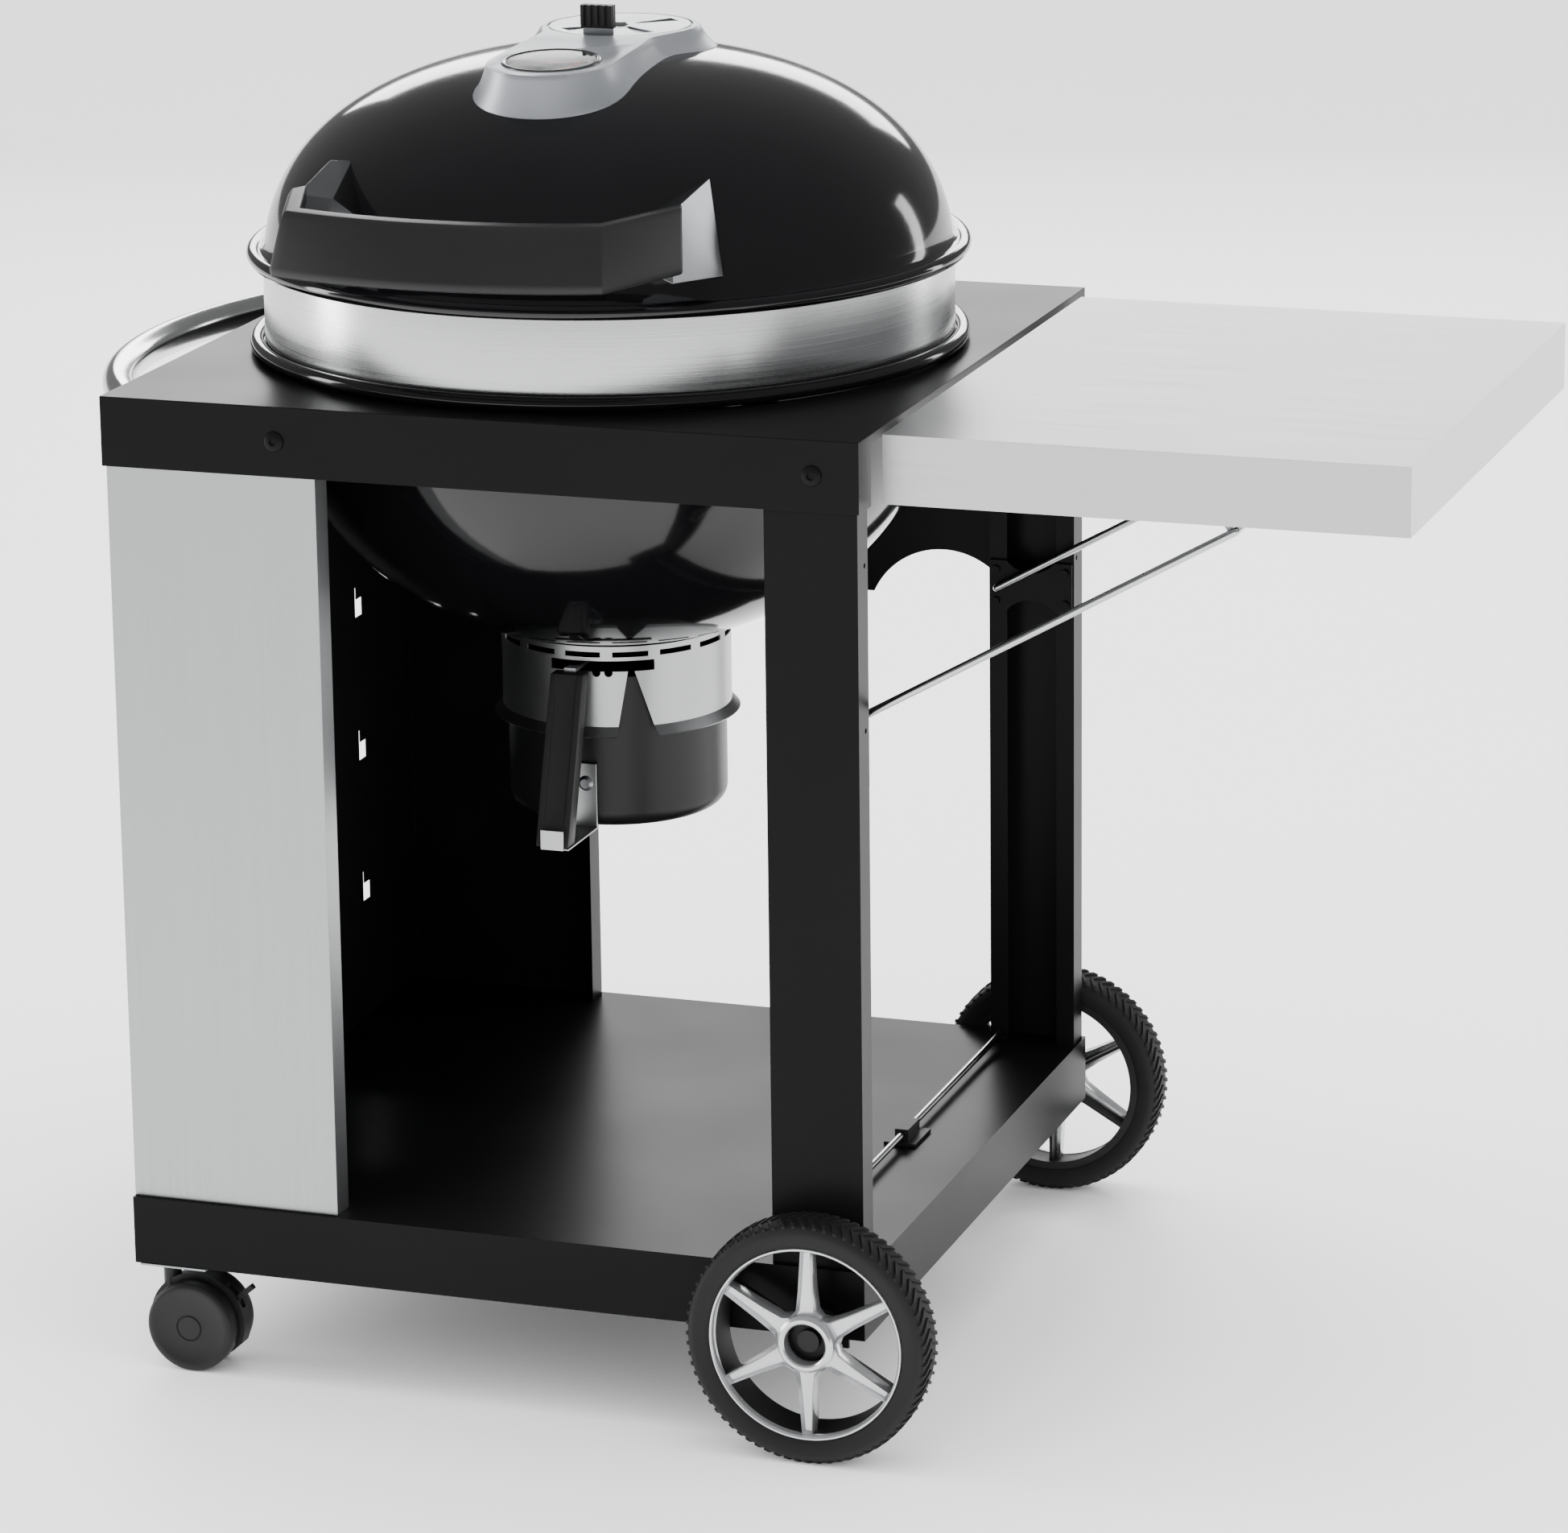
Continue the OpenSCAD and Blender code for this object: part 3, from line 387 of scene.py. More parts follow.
# %% The lid's dome and its bead
def dome(radius, height, base, power, count, start=3.3):
    angles = [radians(start + (90 - start) * i / count) for i in range(count + 1)]
    return [(radius * max(0.0, cos(t)) ** (2 / power), base + height * sin(t) ** (2 / power))
            for t in angles]


lid_outside = dome(284.4, 180.1, 883.9, 2.3, 56)
lid_inside = dome(282.2, 177.9, 883.9, 2.3, 40)
lid_outline = (lid_inside[::-1] + [(283.0, 897.4), (288.0, 897.0)]
               + bend(292, 901, 6, -130, 140, 18) + [(286.4, 905.2), (285.0, 907.2)]
               + [p for p in lid_outside if p[1] > 908.5])
lid = turn("lid_dome", lid_outline, spot(0, 0, 0), steps=160)
hand_over(lid, "lid_shell", enamel, 50)
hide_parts("lid_shell")
print("lid", [round(v, 3) for v in lid.dimensions])

# %% [markdown]
# The bowl is the same steel drawn the other way, a little deeper. Its rim turns out flat, rests
# just above the table and ends in the bead that shows below the steel band. Three vents open in its
# floor, above the ash catcher.

# %% The bowl, its rim and its floor vents
bowl_outside = [(r, 825 - z) for r, z in dome(280, 253, 0, 2.2, 56, 0.8)]
bowl_inside = [(r, 825 - z) for r, z in dome(278, 251, 0, 2.2, 44, 0.8)]
bowl_outline = (bowl_inside[::-1] + [(278.2, 825.2), (286.0, 825.2), (287.0, 827.0)]
                + bend(291, 828, 6, 150, -130, 18) + [(286.0, 822.9), (281.0, 822.9)]
                + bowl_outside[1:])
bowl = turn("bowl_dome", bowl_outline, spot(0, 0, 0), steps=144)
clear_selection()
cutters = []
for bearing in (0, 120, 240):
    for along in (34, 46, 58, 70):
        there = Matrix.Rotation(radians(bearing + 12), 3, "Z") @ Vector((along / 1000, 0, 0))
        bpy.ops.mesh.primitive_cylinder_add(vertices=20, radius=0.0095, depth=0.04,
                                            location=spot(0, 0, 576) + there)
        cutters.append(bpy.context.object)
clear_selection()
for cutter in cutters:
    cutter.select_set(True)
bpy.context.view_layer.objects.active = cutters[0]
bpy.ops.object.join()
vent_tool = bpy.context.object
cut = bowl.modifiers.new("vents", "BOOLEAN")
cut.object = vent_tool
cut.use_self = True
take(bowl)
bpy.ops.object.modifier_apply(modifier=cut.name)
bpy.data.objects.remove(vent_tool)
hand_over(bowl, "bowl", enamel, 50)
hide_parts("bowl")
print("bowl", [round(v, 3) for v in bowl.dimensions])

# %% [markdown]
# The band between bowl and lid is a strip rolled into a hoop. Its edges are turned slightly in, so
# a thin dark line separates it from each bead.

# %% The stainless band
band = turn("band_hoop", [(283.6, 825.4), (284.3, 826.4), (284.5, 828), (284.5, 894),
                          (284.3, 895.6), (283.6, 896.6), (283.3, 896.6), (283.3, 825.4),
                          (283.6, 825.4)],
            spot(0, 0, 0), steps=160)
hand_over(band, "stainless_band", ring_brushed, 40)
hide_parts("stainless_band")
print("band", [round(v, 3) for v in band.dimensions])

# %% [markdown]
# A swept piece has one cross-section that travels along a path. `sweep` lays down a ring for each
# station in edit mode, moves its corners into place, and fills the faces between neighbours.

# %% Sweeping a section through its stations
def sweep(name, stations, caps=True, loop=False):
    clear_selection()
    count = len(stations[0])
    bpy.ops.mesh.primitive_circle_add(vertices=count, radius=0.01)
    piece = bpy.context.object
    piece.name = name
    bpy.ops.object.mode_set(mode="EDIT")
    for _ in stations[1:]:
        bpy.ops.mesh.primitive_circle_add(vertices=count, radius=0.01)
    mesh = bmesh.from_edit_mesh(piece.data)
    mesh.verts.ensure_lookup_table()
    rings = [[mesh.verts[i * count + j] for j in range(count)] for i in range(len(stations))]
    for ring, station in zip(rings, stations):
        for corner, place in zip(ring, station):
            corner.co = place
    neighbours = list(zip(rings, rings[1:])) + ([(rings[-1], rings[0])] if loop else [])
    for near, far in neighbours:
        for j in range(count):
            mesh.faces.new((near[j], near[(j + 1) % count], far[(j + 1) % count], far[j]))
    if caps and not loop:
        mesh.faces.new(rings[0][::-1])
        mesh.faces.new(rings[-1])
    bmesh.update_edit_mesh(piece.data)
    bpy.ops.mesh.select_all(action="SELECT")
    bpy.ops.mesh.normals_make_consistent(inside=False)
    bpy.ops.object.mode_set(mode="OBJECT")
    return piece


def soften(piece, width_mm, segments=3, sharp=25):
    edge = piece.modifiers.new("edge", "BEVEL")
    edge.width = width_mm / 1000
    edge.segments = segments
    edge.limit_method = "ANGLE"
    edge.angle_limit = radians(sharp)
    take(piece)
    bpy.ops.object.modifier_apply(modifier=edge.name)


# %% [markdown]
# The lid's grip is a thick moulded bar that bows with the kettle, with a short leg swept back to a
# bracket at each end. Its section leans outward at the bottom, so it is a six-sided loop carried
# round the arc and then back along both legs.

# %% The lid handle's grip
grip_outline = [(396, 983), (411, 945), (409.5, 939), (397, 937.5), (372, 979), (374, 988),
                (391, 988)]


def grip_station(bearing, shift=(0, 0, 0)):
    t = radians(bearing)
    return [spot(r * sin(t) + shift[0], -r * cos(t) + shift[1], z + shift[2])
            for r, z in grip_outline]


turn_out = 19.4
stations = [grip_station(-turn_out, (-33, 92, 0))]
stations += [grip_station(-turn_out + 2 * turn_out * i / 28) for i in range(29)]
stations += [grip_station(turn_out, (33, 92, 0))]
grip = sweep("handle_grip", stations)
soften(grip, 2.2)
hand_over(grip, "lid_handle_grip", moulded_black)
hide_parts("lid_handle_grip")
print("grip", [round(v, 3) for v in grip.dimensions])

# %% [markdown]
# The cover on top of the lid is one moulding in plan like a keyhole: a round lobe for the dial in
# front, a wider one for the vents behind, and straight sides between them that meet both lobes in
# hollow curves. Its plan is the same loop at every height, only wider as it flares to the dome.

# %% The vent cover's plan at a given spread
def cover_plan(grow, count=120):
    front, rear = (-128.0, 50.0 + grow), (36.0, 66.0 + grow)
    waist = 48.0 + grow
    loop = []
    for i in range(count):
        t = 2 * pi * i / count
        away = Vector((sin(t), -cos(t)))
        reach = 0.0
        for middle, radius in (front, rear):
            offset = middle + 50.0
            along = away.y * offset
            inside = radius ** 2 - (offset ** 2 - along ** 2)
            if inside > 0:
                reach = max(reach, along + sqrt(inside))
        if abs(away.x) > 0.01:
            side = waist / abs(away.x)
            y = away.y * side
            if -78.0 <= y <= 86.0:
                reach = max(reach, side)
        loop.append((away.x * reach, -50.0 + away.y * reach))
    for _ in range(6):
        loop = [((a[0] + 2 * b[0] + c[0]) / 4, (a[1] + 2 * b[1] + c[1]) / 4)
                for a, b, c in zip(loop[-1:] + loop[:-1], loop, loop[1:] + loop[:1])]
    return loop


def dome_height(x, y):
    r = min(283.0, sqrt(x * x + y * y))
    return 883.9 + 180.1 * (1 - (r / 284.4) ** 2.3) ** (1 / 2.3)


def cover_ring(grow, height=None, above_dome=None):
    ring = []
    for x, y in cover_plan(grow):
        z = height if above_dome is None else dome_height(x, y) + above_dome
        ring.append(spot(x, y, z))
    return ring


flare = [(-4, 1076.0, None), (0, 1075.6, None), (2.0, 1074.0, None)]
stations = [cover_ring(g, h, a) for g, h, a in flare]
top_plan = cover_plan(2.6)
foot_plan = [(x, y if y > -126 else -126 + (y + 126) * 0.82) for x, y in cover_plan(15.0)]
for step in range(1, 9):
    k = step / 8
    ring = []
    for (x0, y0), (x1, y1) in zip(top_plan, foot_plan):
        x, y = x0 + (x1 - x0) * k ** 1.3, y0 + (y1 - y0) * k ** 1.3
        foot = dome_height(x1, y1) + 0.6
        ring.append(spot(x, y, 1073.0 + (foot - 1073.0) * k))
    stations.append(ring)
stations.append([p - Vector((0, 0, 0.004)) for p in stations[-1]])
cover = sweep("vent_cover", stations[::-1])
print("cover", len(cover.data.polygons), "faces")

# %% [markdown]
# The dial and the vent disc sit in round recesses. Each recess is one cylinder taken away with a
# Boolean modifier, and a narrow bevel then gives every rim its line of light.

# %% The sloping top, with recesses for the dial and the damper
def cut_away(piece, tool):
    cut = piece.modifiers.new("hole", "BOOLEAN")
    cut.object = tool
    take(piece)
    bpy.ops.object.modifier_apply(modifier=cut.name)
    bpy.data.objects.remove(tool)


def drill(piece, centre, radius_mm, depth_mm, lean_degrees=0, sides=96):
    clear_selection()
    bpy.ops.mesh.primitive_cylinder_add(vertices=sides, radius=radius_mm / 1000,
                                        depth=2 * depth_mm / 1000, location=centre,
                                        rotation=(radians(lean_degrees), 0, 0))
    cut_away(piece, bpy.context.object)


dome_rim = [(0, 1064.0 - 0.3)] + [(r, dome_height(r, 0) - 0.3) for r in range(10, 211, 10)]
cut_away(cover, turn("dome_tool", dome_rim + [(210, 880), (0, 880)], spot(0, 0, 0)))
slope, dial_lean = 3.0, 4.0
clear_selection()
bpy.ops.mesh.primitive_cube_add(
    size=0.4, rotation=(radians(slope), 0, 0),
    location=spot(0, -24, 1076) + Matrix.Rotation(radians(slope), 3, "X") @ Vector((0, -0.2, 0.2)))
cut_away(cover, bpy.context.object)
dial_origin = spot(0, -124, 1062.5)
dial_up = Matrix.Rotation(radians(dial_lean), 3, "X") @ Vector((0, 0, 1))
drill(cover, dial_origin + dial_up * 0.0091, 40.4, 9, dial_lean)
drill(cover, spot(0, 36, 1077), 60.0, 2.6)
soften(cover, 0.8, 2, 50)
hand_over(cover, "vent_bezel", silver_paint, 30)
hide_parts("vent_bezel")
print("cover", [round(v, 3) for v in cover.dimensions])

# %% [markdown]
# Behind the glass the dial is a black disc with a ring of white ticks, long ones every fifth, and a
# red band where searing heat begins. Each tick is one small bar, copied round the dial.

# %% The dial's ticks and red band
def copies_round(piece, turns, centre, axis="Z"):
    made = [piece]
    for angle in turns:
        twin = piece.copy()
        twin.data = piece.data.copy()
        bpy.context.scene.collection.objects.link(twin)
        twin.data.transform(Matrix.Translation(centre) @ Matrix.Rotation(angle, 4, AXES[axis])
                            @ Matrix.Translation(-centre))
        made.append(twin)
    clear_selection()
    for one in made:
        one.select_set(True)
    bpy.context.view_layer.objects.active = piece
    bpy.ops.object.join()
    return bpy.context.object


def bar(name, low, high):
    clear_selection()
    bpy.ops.mesh.primitive_cube_add(size=1, location=(low + high) / 2)
    piece = bpy.context.object
    piece.name = name
    piece.scale = high - low
    bpy.ops.object.transform_apply(location=True, rotation=True, scale=True)
    return piece


dial_tilt = (Matrix.Translation(dial_origin) @ Matrix.Rotation(radians(dial_lean), 4, "X")
             @ Matrix.Translation(-dial_origin))
dial_centre = dial_origin + Vector((0, 0, 0.00585))
long_tick = bar("dial_long_ticks", dial_centre + Vector((0.0255, -0.0006, 0)),
                dial_centre + Vector((0.033, 0.0006, 0.0003)))
short_tick = bar("dial_short_ticks", dial_centre + Vector((0.0295, -0.00025, 0)),
                 dial_centre + Vector((0.033, 0.00025, 0.0003)))
long_ticks = copies_round(long_tick, [radians(a) for a in range(-210, 31, 30) if a != 0],
                          dial_centre)
short_ticks = copies_round(short_tick, [radians(a) for a in range(-210, 31, 6) if a % 30],
                           dial_centre)
for ticks in (long_ticks, short_ticks):
    soften(ticks, 0.08, 1)
    ticks.matrix_world = dial_tilt @ ticks.matrix_world
    hand_over(ticks, "thermometer_dial", dial_white)
heat_arc = sweep("dial_heat_band", [
    [dial_centre + Vector((r * cos(radians(a)), r * sin(radians(a)), h))
     for r, h in ((0.0205, 0.0), (0.0235, 0.0), (0.0235, 0.0003), (0.0205, 0.0003))]
    for a in range(-60, 31, 3)])
heat_arc.matrix_world = dial_tilt @ heat_arc.matrix_world
hand_over(heat_arc, "thermometer_dial", pointer_red)
print("dial", len(long_ticks.data.polygons) + len(short_ticks.data.polygons), "faces of ticks")

# %% [markdown]
# The dial's case is a shallow spun cup with a rolled lip that stands a little proud of the cover.

# %% The dial's case
case_outline = ([(36.2, 4.9), (36.2, 8.1)] + bend(38.1, 8.1, 1.9, 170, 10, 8)
                + [(40, 8.0), (40, 0.1), (0, 0.1), (0, 4.9), (36.2, 4.9)])
case = turn("dial_case", case_outline, dial_origin)
case.matrix_world = dial_tilt @ case.matrix_world
hand_over(case, "thermometer_case", chrome_plate, 30)
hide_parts("thermometer_case")

# %% [markdown]
# A tyre is moulded rubber. Its tread is a row of slanting bars on each shoulder that meet in
# arrowheads at the middle, with a groove between each pair. The plain carcass is turned first, then
# one bar is shaped and carried round the wheel for each side.

# %% Tyres with an arrowhead tread
front_axle_low, front_axle_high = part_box("front_tyre")
rear_axle_low, rear_axle_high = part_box("rear_tyre")
wheel_half = (front_axle_high.y - front_axle_low.y) * 500
wheel_radius = (front_axle_high.z - front_axle_low.z) * 500
tread_bars = 72


def tyre_at(name, node, centre):
    w, r = wheel_half, wheel_radius
    carcass = ([(81.2, -w + 3.0), (83.0, -w + 1.2)] + bend(r - 9.5, -w + 7.5, 7.5, -90, -8, 8)
               + [(r - 1.4, 0)] + bend(r - 9.5, w - 7.5, 7.5, 8, 90, 8)
               + [(83.0, w - 1.2), (81.2, w - 3.0), (80.4, w - 3.4), (80.4, -w + 3.4),
                  (81.2, -w + 3.0)])
    tyre = turn(name, carcass, centre, "Y", 144)
    for side in (-1, 1):
        stations = []
        for k in range(7):
            across = side * (0.4 + (w - 3.0) * k / 6)
            lead = 0.09 * k / 6
            edge = max(0.0, abs(across) - (w - 7.5))
            top = r - 0.1 - (7.5 - sqrt(max(0.0, 56.0 - edge ** 2)))
            half = 0.0168
            ring = []
            for angle, radius in ((lead - half, top - 2.6), (lead - half * 0.8, top),
                                  (lead + half * 0.8, top), (lead + half, top - 2.6)):
                ring.append(centre + Vector((radius * sin(angle), across,
                                             radius * cos(angle))) / 1000)
            stations.append(ring)
        block = sweep(name + "_bar", stations)
        bars = copies_round(block, [2 * pi * i / tread_bars for i in range(1, tread_bars)],
                            centre, "Y")
        clear_selection()
        bars.select_set(True)
        tyre.select_set(True)
        bpy.context.view_layer.objects.active = tyre
        bpy.ops.object.join()
    hand_over(tyre, node, tyre_rubber, 38)
    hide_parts(node)
    return tyre


front_hub = (front_axle_low + front_axle_high) / 2
rear_hub = (rear_axle_low + rear_axle_high) / 2
for name, node, hub in (("front_tyre_tread", "front_tyre", front_hub),
                        ("rear_tyre_tread", "rear_tyre", rear_hub)):
    made = tyre_at(name, node, hub)
    print(made.name, len(made.data.polygons), "faces")

# %% [markdown]
# The wheel inside the tyre is one silver moulding with a black barrel behind it. Six spokes run
# from the hub to a thin bright ring. Each spoke is a tapered beam that is wide and webbed at the
# hub, and its face is sunk between two raised edges, which an inset and a push inwards make.

# %% Spoked wheels
def spoke(name, centre, facing):
    w = wheel_half
    face, back = facing * (w - 4.5), facing * (w - 19)
    outline = [(-15.0, 17.5), (-7.6, 27), (-5.8, 44), (-4.2, 76.5), (4.2, 76.5), (5.8, 44),
               (7.6, 27), (15.0, 17.5)]
    crown = [facing * rise for rise in (1.2, 0.6, 0, -1.8, -1.8, 0, 0.6, 1.2)]
    stations = [[centre + Vector((x * grow, level + (rise if at_face else 0), z)) / 1000
                 for (x, z), rise in zip(outline, crown)]
                for level, grow, at_face in ((back, 1.12, False), (face, 1.0, True))]
    beam = sweep(name, stations)
    take(beam)
    bpy.ops.object.mode_set(mode="EDIT")
    bpy.ops.mesh.select_mode(type="FACE")
    bpy.ops.mesh.select_all(action="DESELECT")
    mesh = bmesh.from_edit_mesh(beam.data)
    for panel in mesh.faces:
        panel.select = panel.normal.y * facing > 0.9
    bmesh.update_edit_mesh(beam.data)
    bpy.ops.mesh.inset(thickness=0.0017, depth=0)
    bpy.ops.transform.translate(value=(0, -facing * 0.005, 0))
    bpy.ops.object.mode_set(mode="OBJECT")
    soften(beam, 0.7, 2, 35)
    return beam


def wheel_at(name, node, centre, facing):
    w = wheel_half
    f = facing
    ring = turn(name, [(80.3, f * (w - 4.0)), (79.6, f * (w - 2.6)), (78.4, f * (w - 2.6)),
                       (77.2, f * (w - 4.0)), (76.4, f * (w - 9.0)), (80.3, f * (w - 9.0)),
                       (80.3, f * (w - 4.0))], centre, "Y", 120)
    hub = turn(name + "_hub", [(17.2, f * (w - 12)), (17.2, f * (w - 2.4)), (18.4, f * (w - 1.2)),
                               (21.2, f * (w - 1.4)), (23.4, f * (w - 3.4)), (24.4, f * (w - 16)),
                               (17.2, f * (w - 16)), (17.2, f * (w - 12))], centre, "Y", 72)
    beams = copies_round(spoke(name + "_beam", centre, facing),
                         [2 * pi * i / 6 for i in range(1, 6)], centre, "Y")
    clear_selection()
    for one in (hub, beams, ring):
        one.select_set(True)
    bpy.context.view_layer.objects.active = ring
    bpy.ops.object.join()
    hand_over(ring, node, spoke_silver, 32)
    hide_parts(node)
    barrel = turn(name + "_barrel", [(81.0, f * (w - 4.6)), (80.0, f * (w - 4.6)),
                                     (77.0, f * (w - 9.2)), (74.6, f * -(w - 3)),
                                     (81.0, f * -(w - 3)), (81.0, f * (w - 4.6))],
                  centre, "Y", 120)
    hand_over(barrel, node, moulded_black, 32)
    core = turn(name + "_core", [(6.2, f * (w - 17.6)), (15.2, f * (w - 17.6)),
                                 (15.6, f * (w - 12)), (17.4, f * (w - 16.4)),
                                 (19.0, f * -(w - 1.0)), (14.0, f * -(w - 0.6)),
                                 (6.2, f * -(w - 0.6)), (6.2, f * (w - 17.6))], centre, "Y", 72)
    hand_over(core, node, moulded_black, 32)
    ribs = []
    for i in range(6):
        angle = 2 * pi * i / 6
        rib = sweep(name + "_rib", [[centre + Matrix.Rotation(angle, 3, "Y") @ Vector(c) / 1000
                                     for c in ((-t, level, 16.5), (-t, level, 76.5),
                                               (t, level, 76.5), (t, level, 16.5))]
                                    for level, t in ((f * (w - 18.6), 1.6), (f * -(w - 9), 1.3))])
        ribs.append(rib)
    clear_selection()
    for rib in ribs:
        rib.select_set(True)
    bpy.context.view_layer.objects.active = ribs[0]
    bpy.ops.object.join()
    back_ribs = bpy.context.object
    back_ribs.name = name + "_back_ribs"
    hand_over(back_ribs, node, moulded_black, 32)
    return ring


for name, node, hub, facing in (("front_wheel_face", "front_wheel_rim", front_hub, -1),
                                ("rear_wheel_face", "rear_wheel_rim", rear_hub, 1)):
    made = wheel_at(name, node, hub, facing)
    print(made.name, len(made.data.polygons), "faces")

# %% [markdown]
# The casters are twin wheels under a hood. Each wheel is a moulded disc with a rounded tread, a
# shallow dished face and a small round cap over the axle.

# %% Caster wheels
def caster_at(name, node):
    low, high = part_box(node)
    centre = (low + high) / 2
    half, radius = (high.y - low.y) * 500, (high.z - low.z) * 500
    discs = []
    for side in (-1, 1):
        inner, outer = half - 17, half
        shape = ([(0, side * inner), (radius - 3, side * inner)]
                 + [(radius - 3 + 3 * sin(radians(a)), side * (inner + 3 - 3 * cos(radians(a))))
                    for a in (30, 60, 90)]
                 + [(radius - 4 + 4 * cos(radians(a)), side * (outer - 4 + 4 * sin(radians(a))))
                    for a in (0, 22, 45, 68, 90)]
                 + [(radius - 7, side * outer), (radius - 8.5, side * (outer - 0.9)),
                    (11.5, side * (outer - 0.7)), (11, side * (outer - 1.5)),
                    (10.2, side * (outer - 1.5)), (9.6, side * (outer - 0.4)),
                    (0, side * (outer - 0.3))])
        discs.append(turn(name, shape, centre, "Y", 72))
    axle = turn(name, [(0, -half + 16), (4, -half + 16), (4, half - 16), (0, half - 16)],
                centre, "Y", 24)
    clear_selection()
    for one in discs + [axle]:
        one.select_set(True)
    bpy.context.view_layer.objects.active = discs[0]
    bpy.ops.object.join()
    piece = bpy.context.object
    hand_over(piece, node, moulded_black, 32)
    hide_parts(node)
    return piece


for name in ("front_caster", "rear_caster"):
    made = caster_at(name + "_discs", name + "_wheels")
    print(made.name, len(made.data.polygons), "faces")
    rounded(name + "_hood", 0.8)
    rounded(name + "_brake", 0.9)

# %% [markdown]
# The bolts in the aprons are button heads: a low dome with a socket sunk in the middle, six-sided on
# the real bolt and turned round here.

# %% Button-head bolts
def button_bolt(name, x, y, z, facing):
    centre = Vector((x, y, z))
    shape = [(8.2, 0.0), (8.2, 0.9)] + [(8.2 * cos(radians(a)), 0.9 + 2.4 * sin(radians(a)))
                                        for a in (20, 38, 52, 62)]
    shape += [(3.2, 3.1), (2.9, 1.4), (0, 1.3)]
    shape = [(r, facing * h) for r, h in shape]
    return turn(name, shape, centre, "Y", 36)


table_low, table_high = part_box("table_top")
bolts = []
for x_mm in (-166, 281):
    for face_y, facing in ((table_low.y, -1), (table_high.y, 1)):
        bolts.append(button_bolt("apron_bolts", spot(x_mm, 0, 0).x, face_y, 0.793, facing))
clear_selection()
for one in bolts:
    one.select_set(True)
bpy.context.view_layer.objects.active = bolts[0]
bpy.ops.object.join()
apron_bolts = bpy.context.object
hand_over(apron_bolts, "table_bolts", powder_coat, 30)
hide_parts("table_bolts")
print("bolts", len(apron_bolts.data.polygons), "faces")

# %% [markdown]
# The ash pot is pressed from one disc, with a generous radius at its foot and a rolled lip. The
# ring above it and the wedge cut in it stay as packed, with only a satin finish.

# %% The ash pot
pot_outline = ([(0, 425), (76, 425)] + bend(76, 440.5, 15.5, -90, 0, 12)
               + [(91.5, 553), (92.2, 555.4), (91.2, 556), (90.3, 555.2), (90.3, 553)]
               + bend(76, 440.5, 14.3, 0, -90, 12) + [(0, 426.2)])
pot = turn("ash_pot_pressed", pot_outline, spot(0, 0, 0), steps=128)
hand_over(pot, "ash_pot", pot_coat, 35)
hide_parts("ash_pot")

# %% [markdown]
# The pot's handle is a moulded grip that leans outward towards its foot, rounded all along, with a
# sunken panel in its face for the fingers.

# %% The ash catcher's grip
grip_low, grip_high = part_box("ash_grip")
lean = [(k / 10, grip_low.z + (grip_high.z - grip_low.z) * k / 10) for k in range(11)]
stations = []
foot_front, top_front = grip_low.y, grip_high.y - 0.0145
for k, z in lean:
    front = foot_front + (top_front - foot_front) * k
    back = front + 0.0165 - 0.0025 * k
    half = 0.0144 - 0.0008 * abs(k - 0.5)
    cx = kettle_x
    stations.append([Vector((cx - half, back, z)), Vector((cx - half, front, z)),
                     Vector((cx - half * 0.62, front, z)), Vector((cx - half * 0.62, front, z)),
                     Vector((cx + half * 0.62, front, z)), Vector((cx + half * 0.62, front, z)),
                     Vector((cx + half, front, z)), Vector((cx + half, back, z))])
for index in range(2, 10):
    for corner in (3, 4):
        stations[index][corner] = stations[index][corner] + Vector((0, 0.0013, 0))
catch_grip = sweep("catcher_grip", stations)
take(catch_grip)
bpy.ops.object.mode_set(mode="EDIT")
bpy.ops.mesh.select_all(action="SELECT")
bpy.ops.mesh.remove_doubles(threshold=0.00005)
bpy.ops.mesh.normals_make_consistent(inside=False)
bpy.ops.object.mode_set(mode="OBJECT")
soften(catch_grip, 2.2, 3, 50)
hand_over(catch_grip, "ash_grip", moulded_black, 40)
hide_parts("ash_grip")
print("catcher grip", [round(v, 3) for v in catch_grip.dimensions])

# %% [markdown]
# The clip on the lower rail is a small clamp with two jaws. It stays as packed, with its edges
# rounded.

# %% The rail clip
made_clip = rounded("rail_clip", 1.4)
print(made_clip.name, [round(v, 3) for v in made_clip.dimensions])

# %% [markdown]
# The grill stands on a pale sweep of paper in a bright studio. The floor is wide enough to show no
# edge, and a faint mottling keeps it from looking like a drawn plane.

# %% The floor
clear_selection()
bpy.ops.mesh.primitive_grid_add(x_subdivisions=4, y_subdivisions=4, size=60, location=(0, 0, 0))
floor = bpy.context.object
floor.name = "studio_floor"
paper, tree, shader = new_finish("pale studio paper", Roughness=0.55)
place = add_node(tree, "ShaderNodeTexCoord")
fibre = add_node(tree, "ShaderNodeTexNoise", {"Vector": (place, "Object"), "Scale": 1.5,
                                              "Detail": 3.0})
shade = add_node(tree, "ShaderNodeMix", {0: (fibre, "Fac"), 6: tint("#f9f9f9"), 7: tint("#fcfcfc")},
                 data_type="RGBA")
tree.links.new(shade.outputs[2], shader.inputs["Base Color"])
floor.data.materials.append(paper)

# %% [markdown]
# Black enamel only shows what it reflects, so the room is kept darker than the paper in front of
# the camera: the sky lights the paper brightly, and large soft panels draw the highlights.

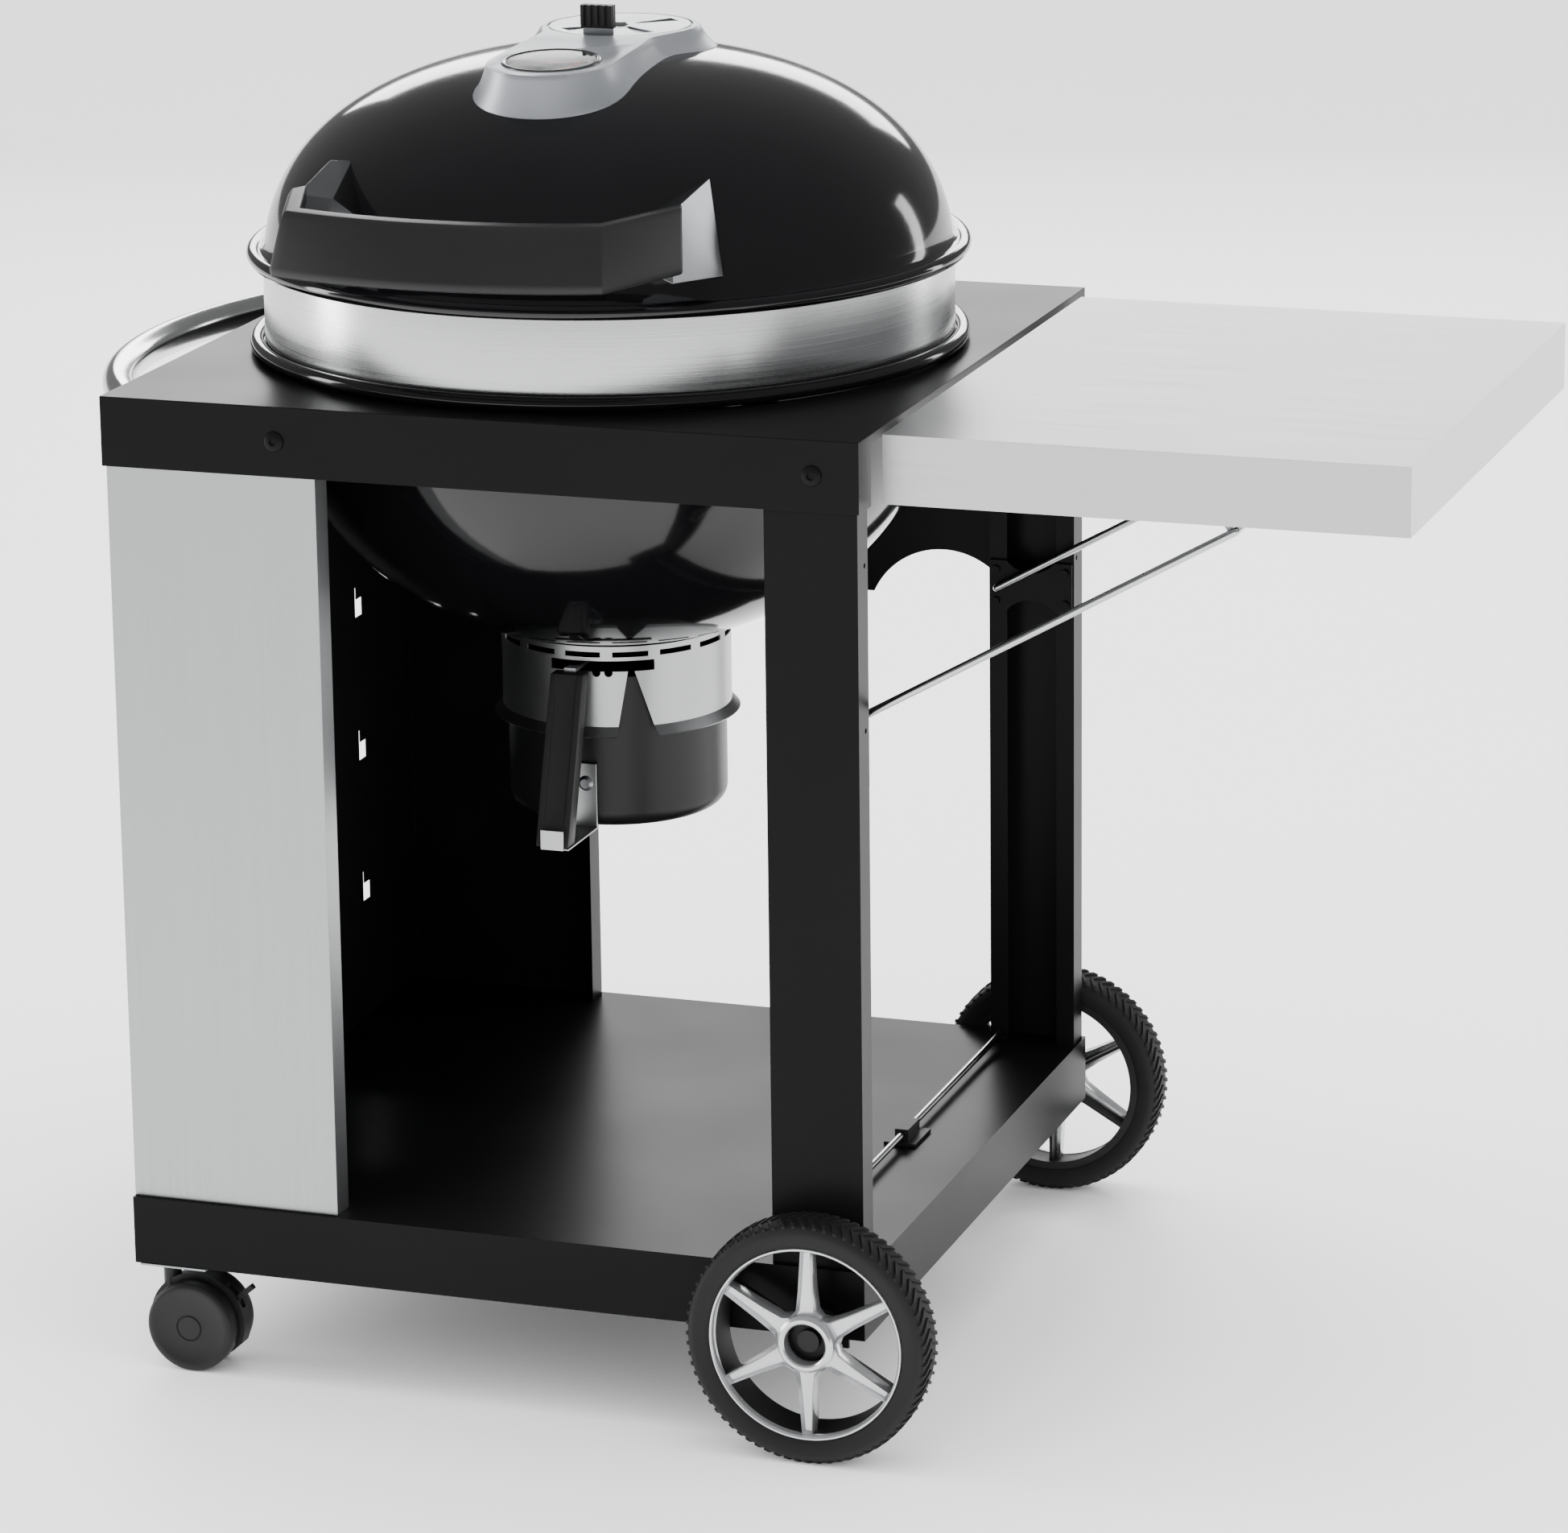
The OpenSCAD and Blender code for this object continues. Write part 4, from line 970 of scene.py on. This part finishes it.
# %% The room and its soft lights
world = bpy.data.worlds.new("studio room")
bpy.context.scene.world = world
world.use_nodes = True
tree = world.node_tree
room = tree.nodes["Background"]
room.inputs["Color"].default_value = (1, 1, 1, 1)
path = add_node(tree, "ShaderNodeLightPath")
dim = add_node(tree, "ShaderNodeMix", {0: (path, "Is Glossy Ray"), 2: 2.5, 3: 0.24})
level = add_node(tree, "ShaderNodeMix", {0: (path, "Is Camera Ray"), 2: (dim, 0), 3: 2.5})
tree.links.new(level.outputs[0], room.inputs["Strength"])


def soft_panel(name, place, target, width, height, power):
    clear_selection()
    bpy.ops.object.light_add(type="AREA", location=place)
    panel = bpy.context.object
    panel.name = name
    panel.data.shape = "RECTANGLE"
    panel.data.size = width
    panel.data.size_y = height
    panel.data.energy = power
    panel.rotation_euler = (Vector(target) - Vector(place)).to_track_quat("-Z", "Y").to_euler()
    return panel


overhead = soft_panel("overhead_panel", (0.3, 0.2, 3.6), (0, 0, 0.6), 2.6, 2.0, 90)
overhead.visible_glossy = False
soft_panel("left_panel", (-3.8, -0.6, 1.2), (0, 0, 0.7), 0.7, 2.2, 60)
soft_panel("right_panel", (2.6, 3.6, 1.2), (0, 0, 0.8), 0.5, 2.0, 24)
soft_panel("back_panel", (-1.5, 4.9, 2.1), (0, 0, 0.9), 3.8, 1.0, 112)

# %% [markdown]
# The camera looks slightly down at the front right corner from five metres, through a long lens, so
# upright edges stay almost parallel.

# %% The camera
bearing, height_angle, roll = radians(19.36), radians(15.16), radians(-0.84)
back = Vector((sin(bearing) * cos(height_angle), -cos(bearing) * cos(height_angle),
               sin(height_angle)))
right = (-back).cross(Vector((0, 0, 1))).normalized()
up = right.cross(-back)
rolled_right = right * cos(roll) + up * sin(roll)
rolled_up = up * cos(roll) - right * sin(roll)
lens = bpy.data.cameras.new("long_lens")
lens.sensor_width = 36
lens.lens = 146.57
lens.shift_x = 0.0397
lens.shift_y = -0.0289
camera = bpy.data.objects.new("camera", lens)
bpy.context.scene.collection.objects.link(camera)
stand = spot(1796.06, -4849.37, 1892.65)
camera.matrix_world = Matrix.Translation(stand) @ Matrix(
    (rolled_right, rolled_up, back)).transposed().to_4x4()
bpy.context.scene.camera = camera
print("camera at", [round(v, 3) for v in stand])
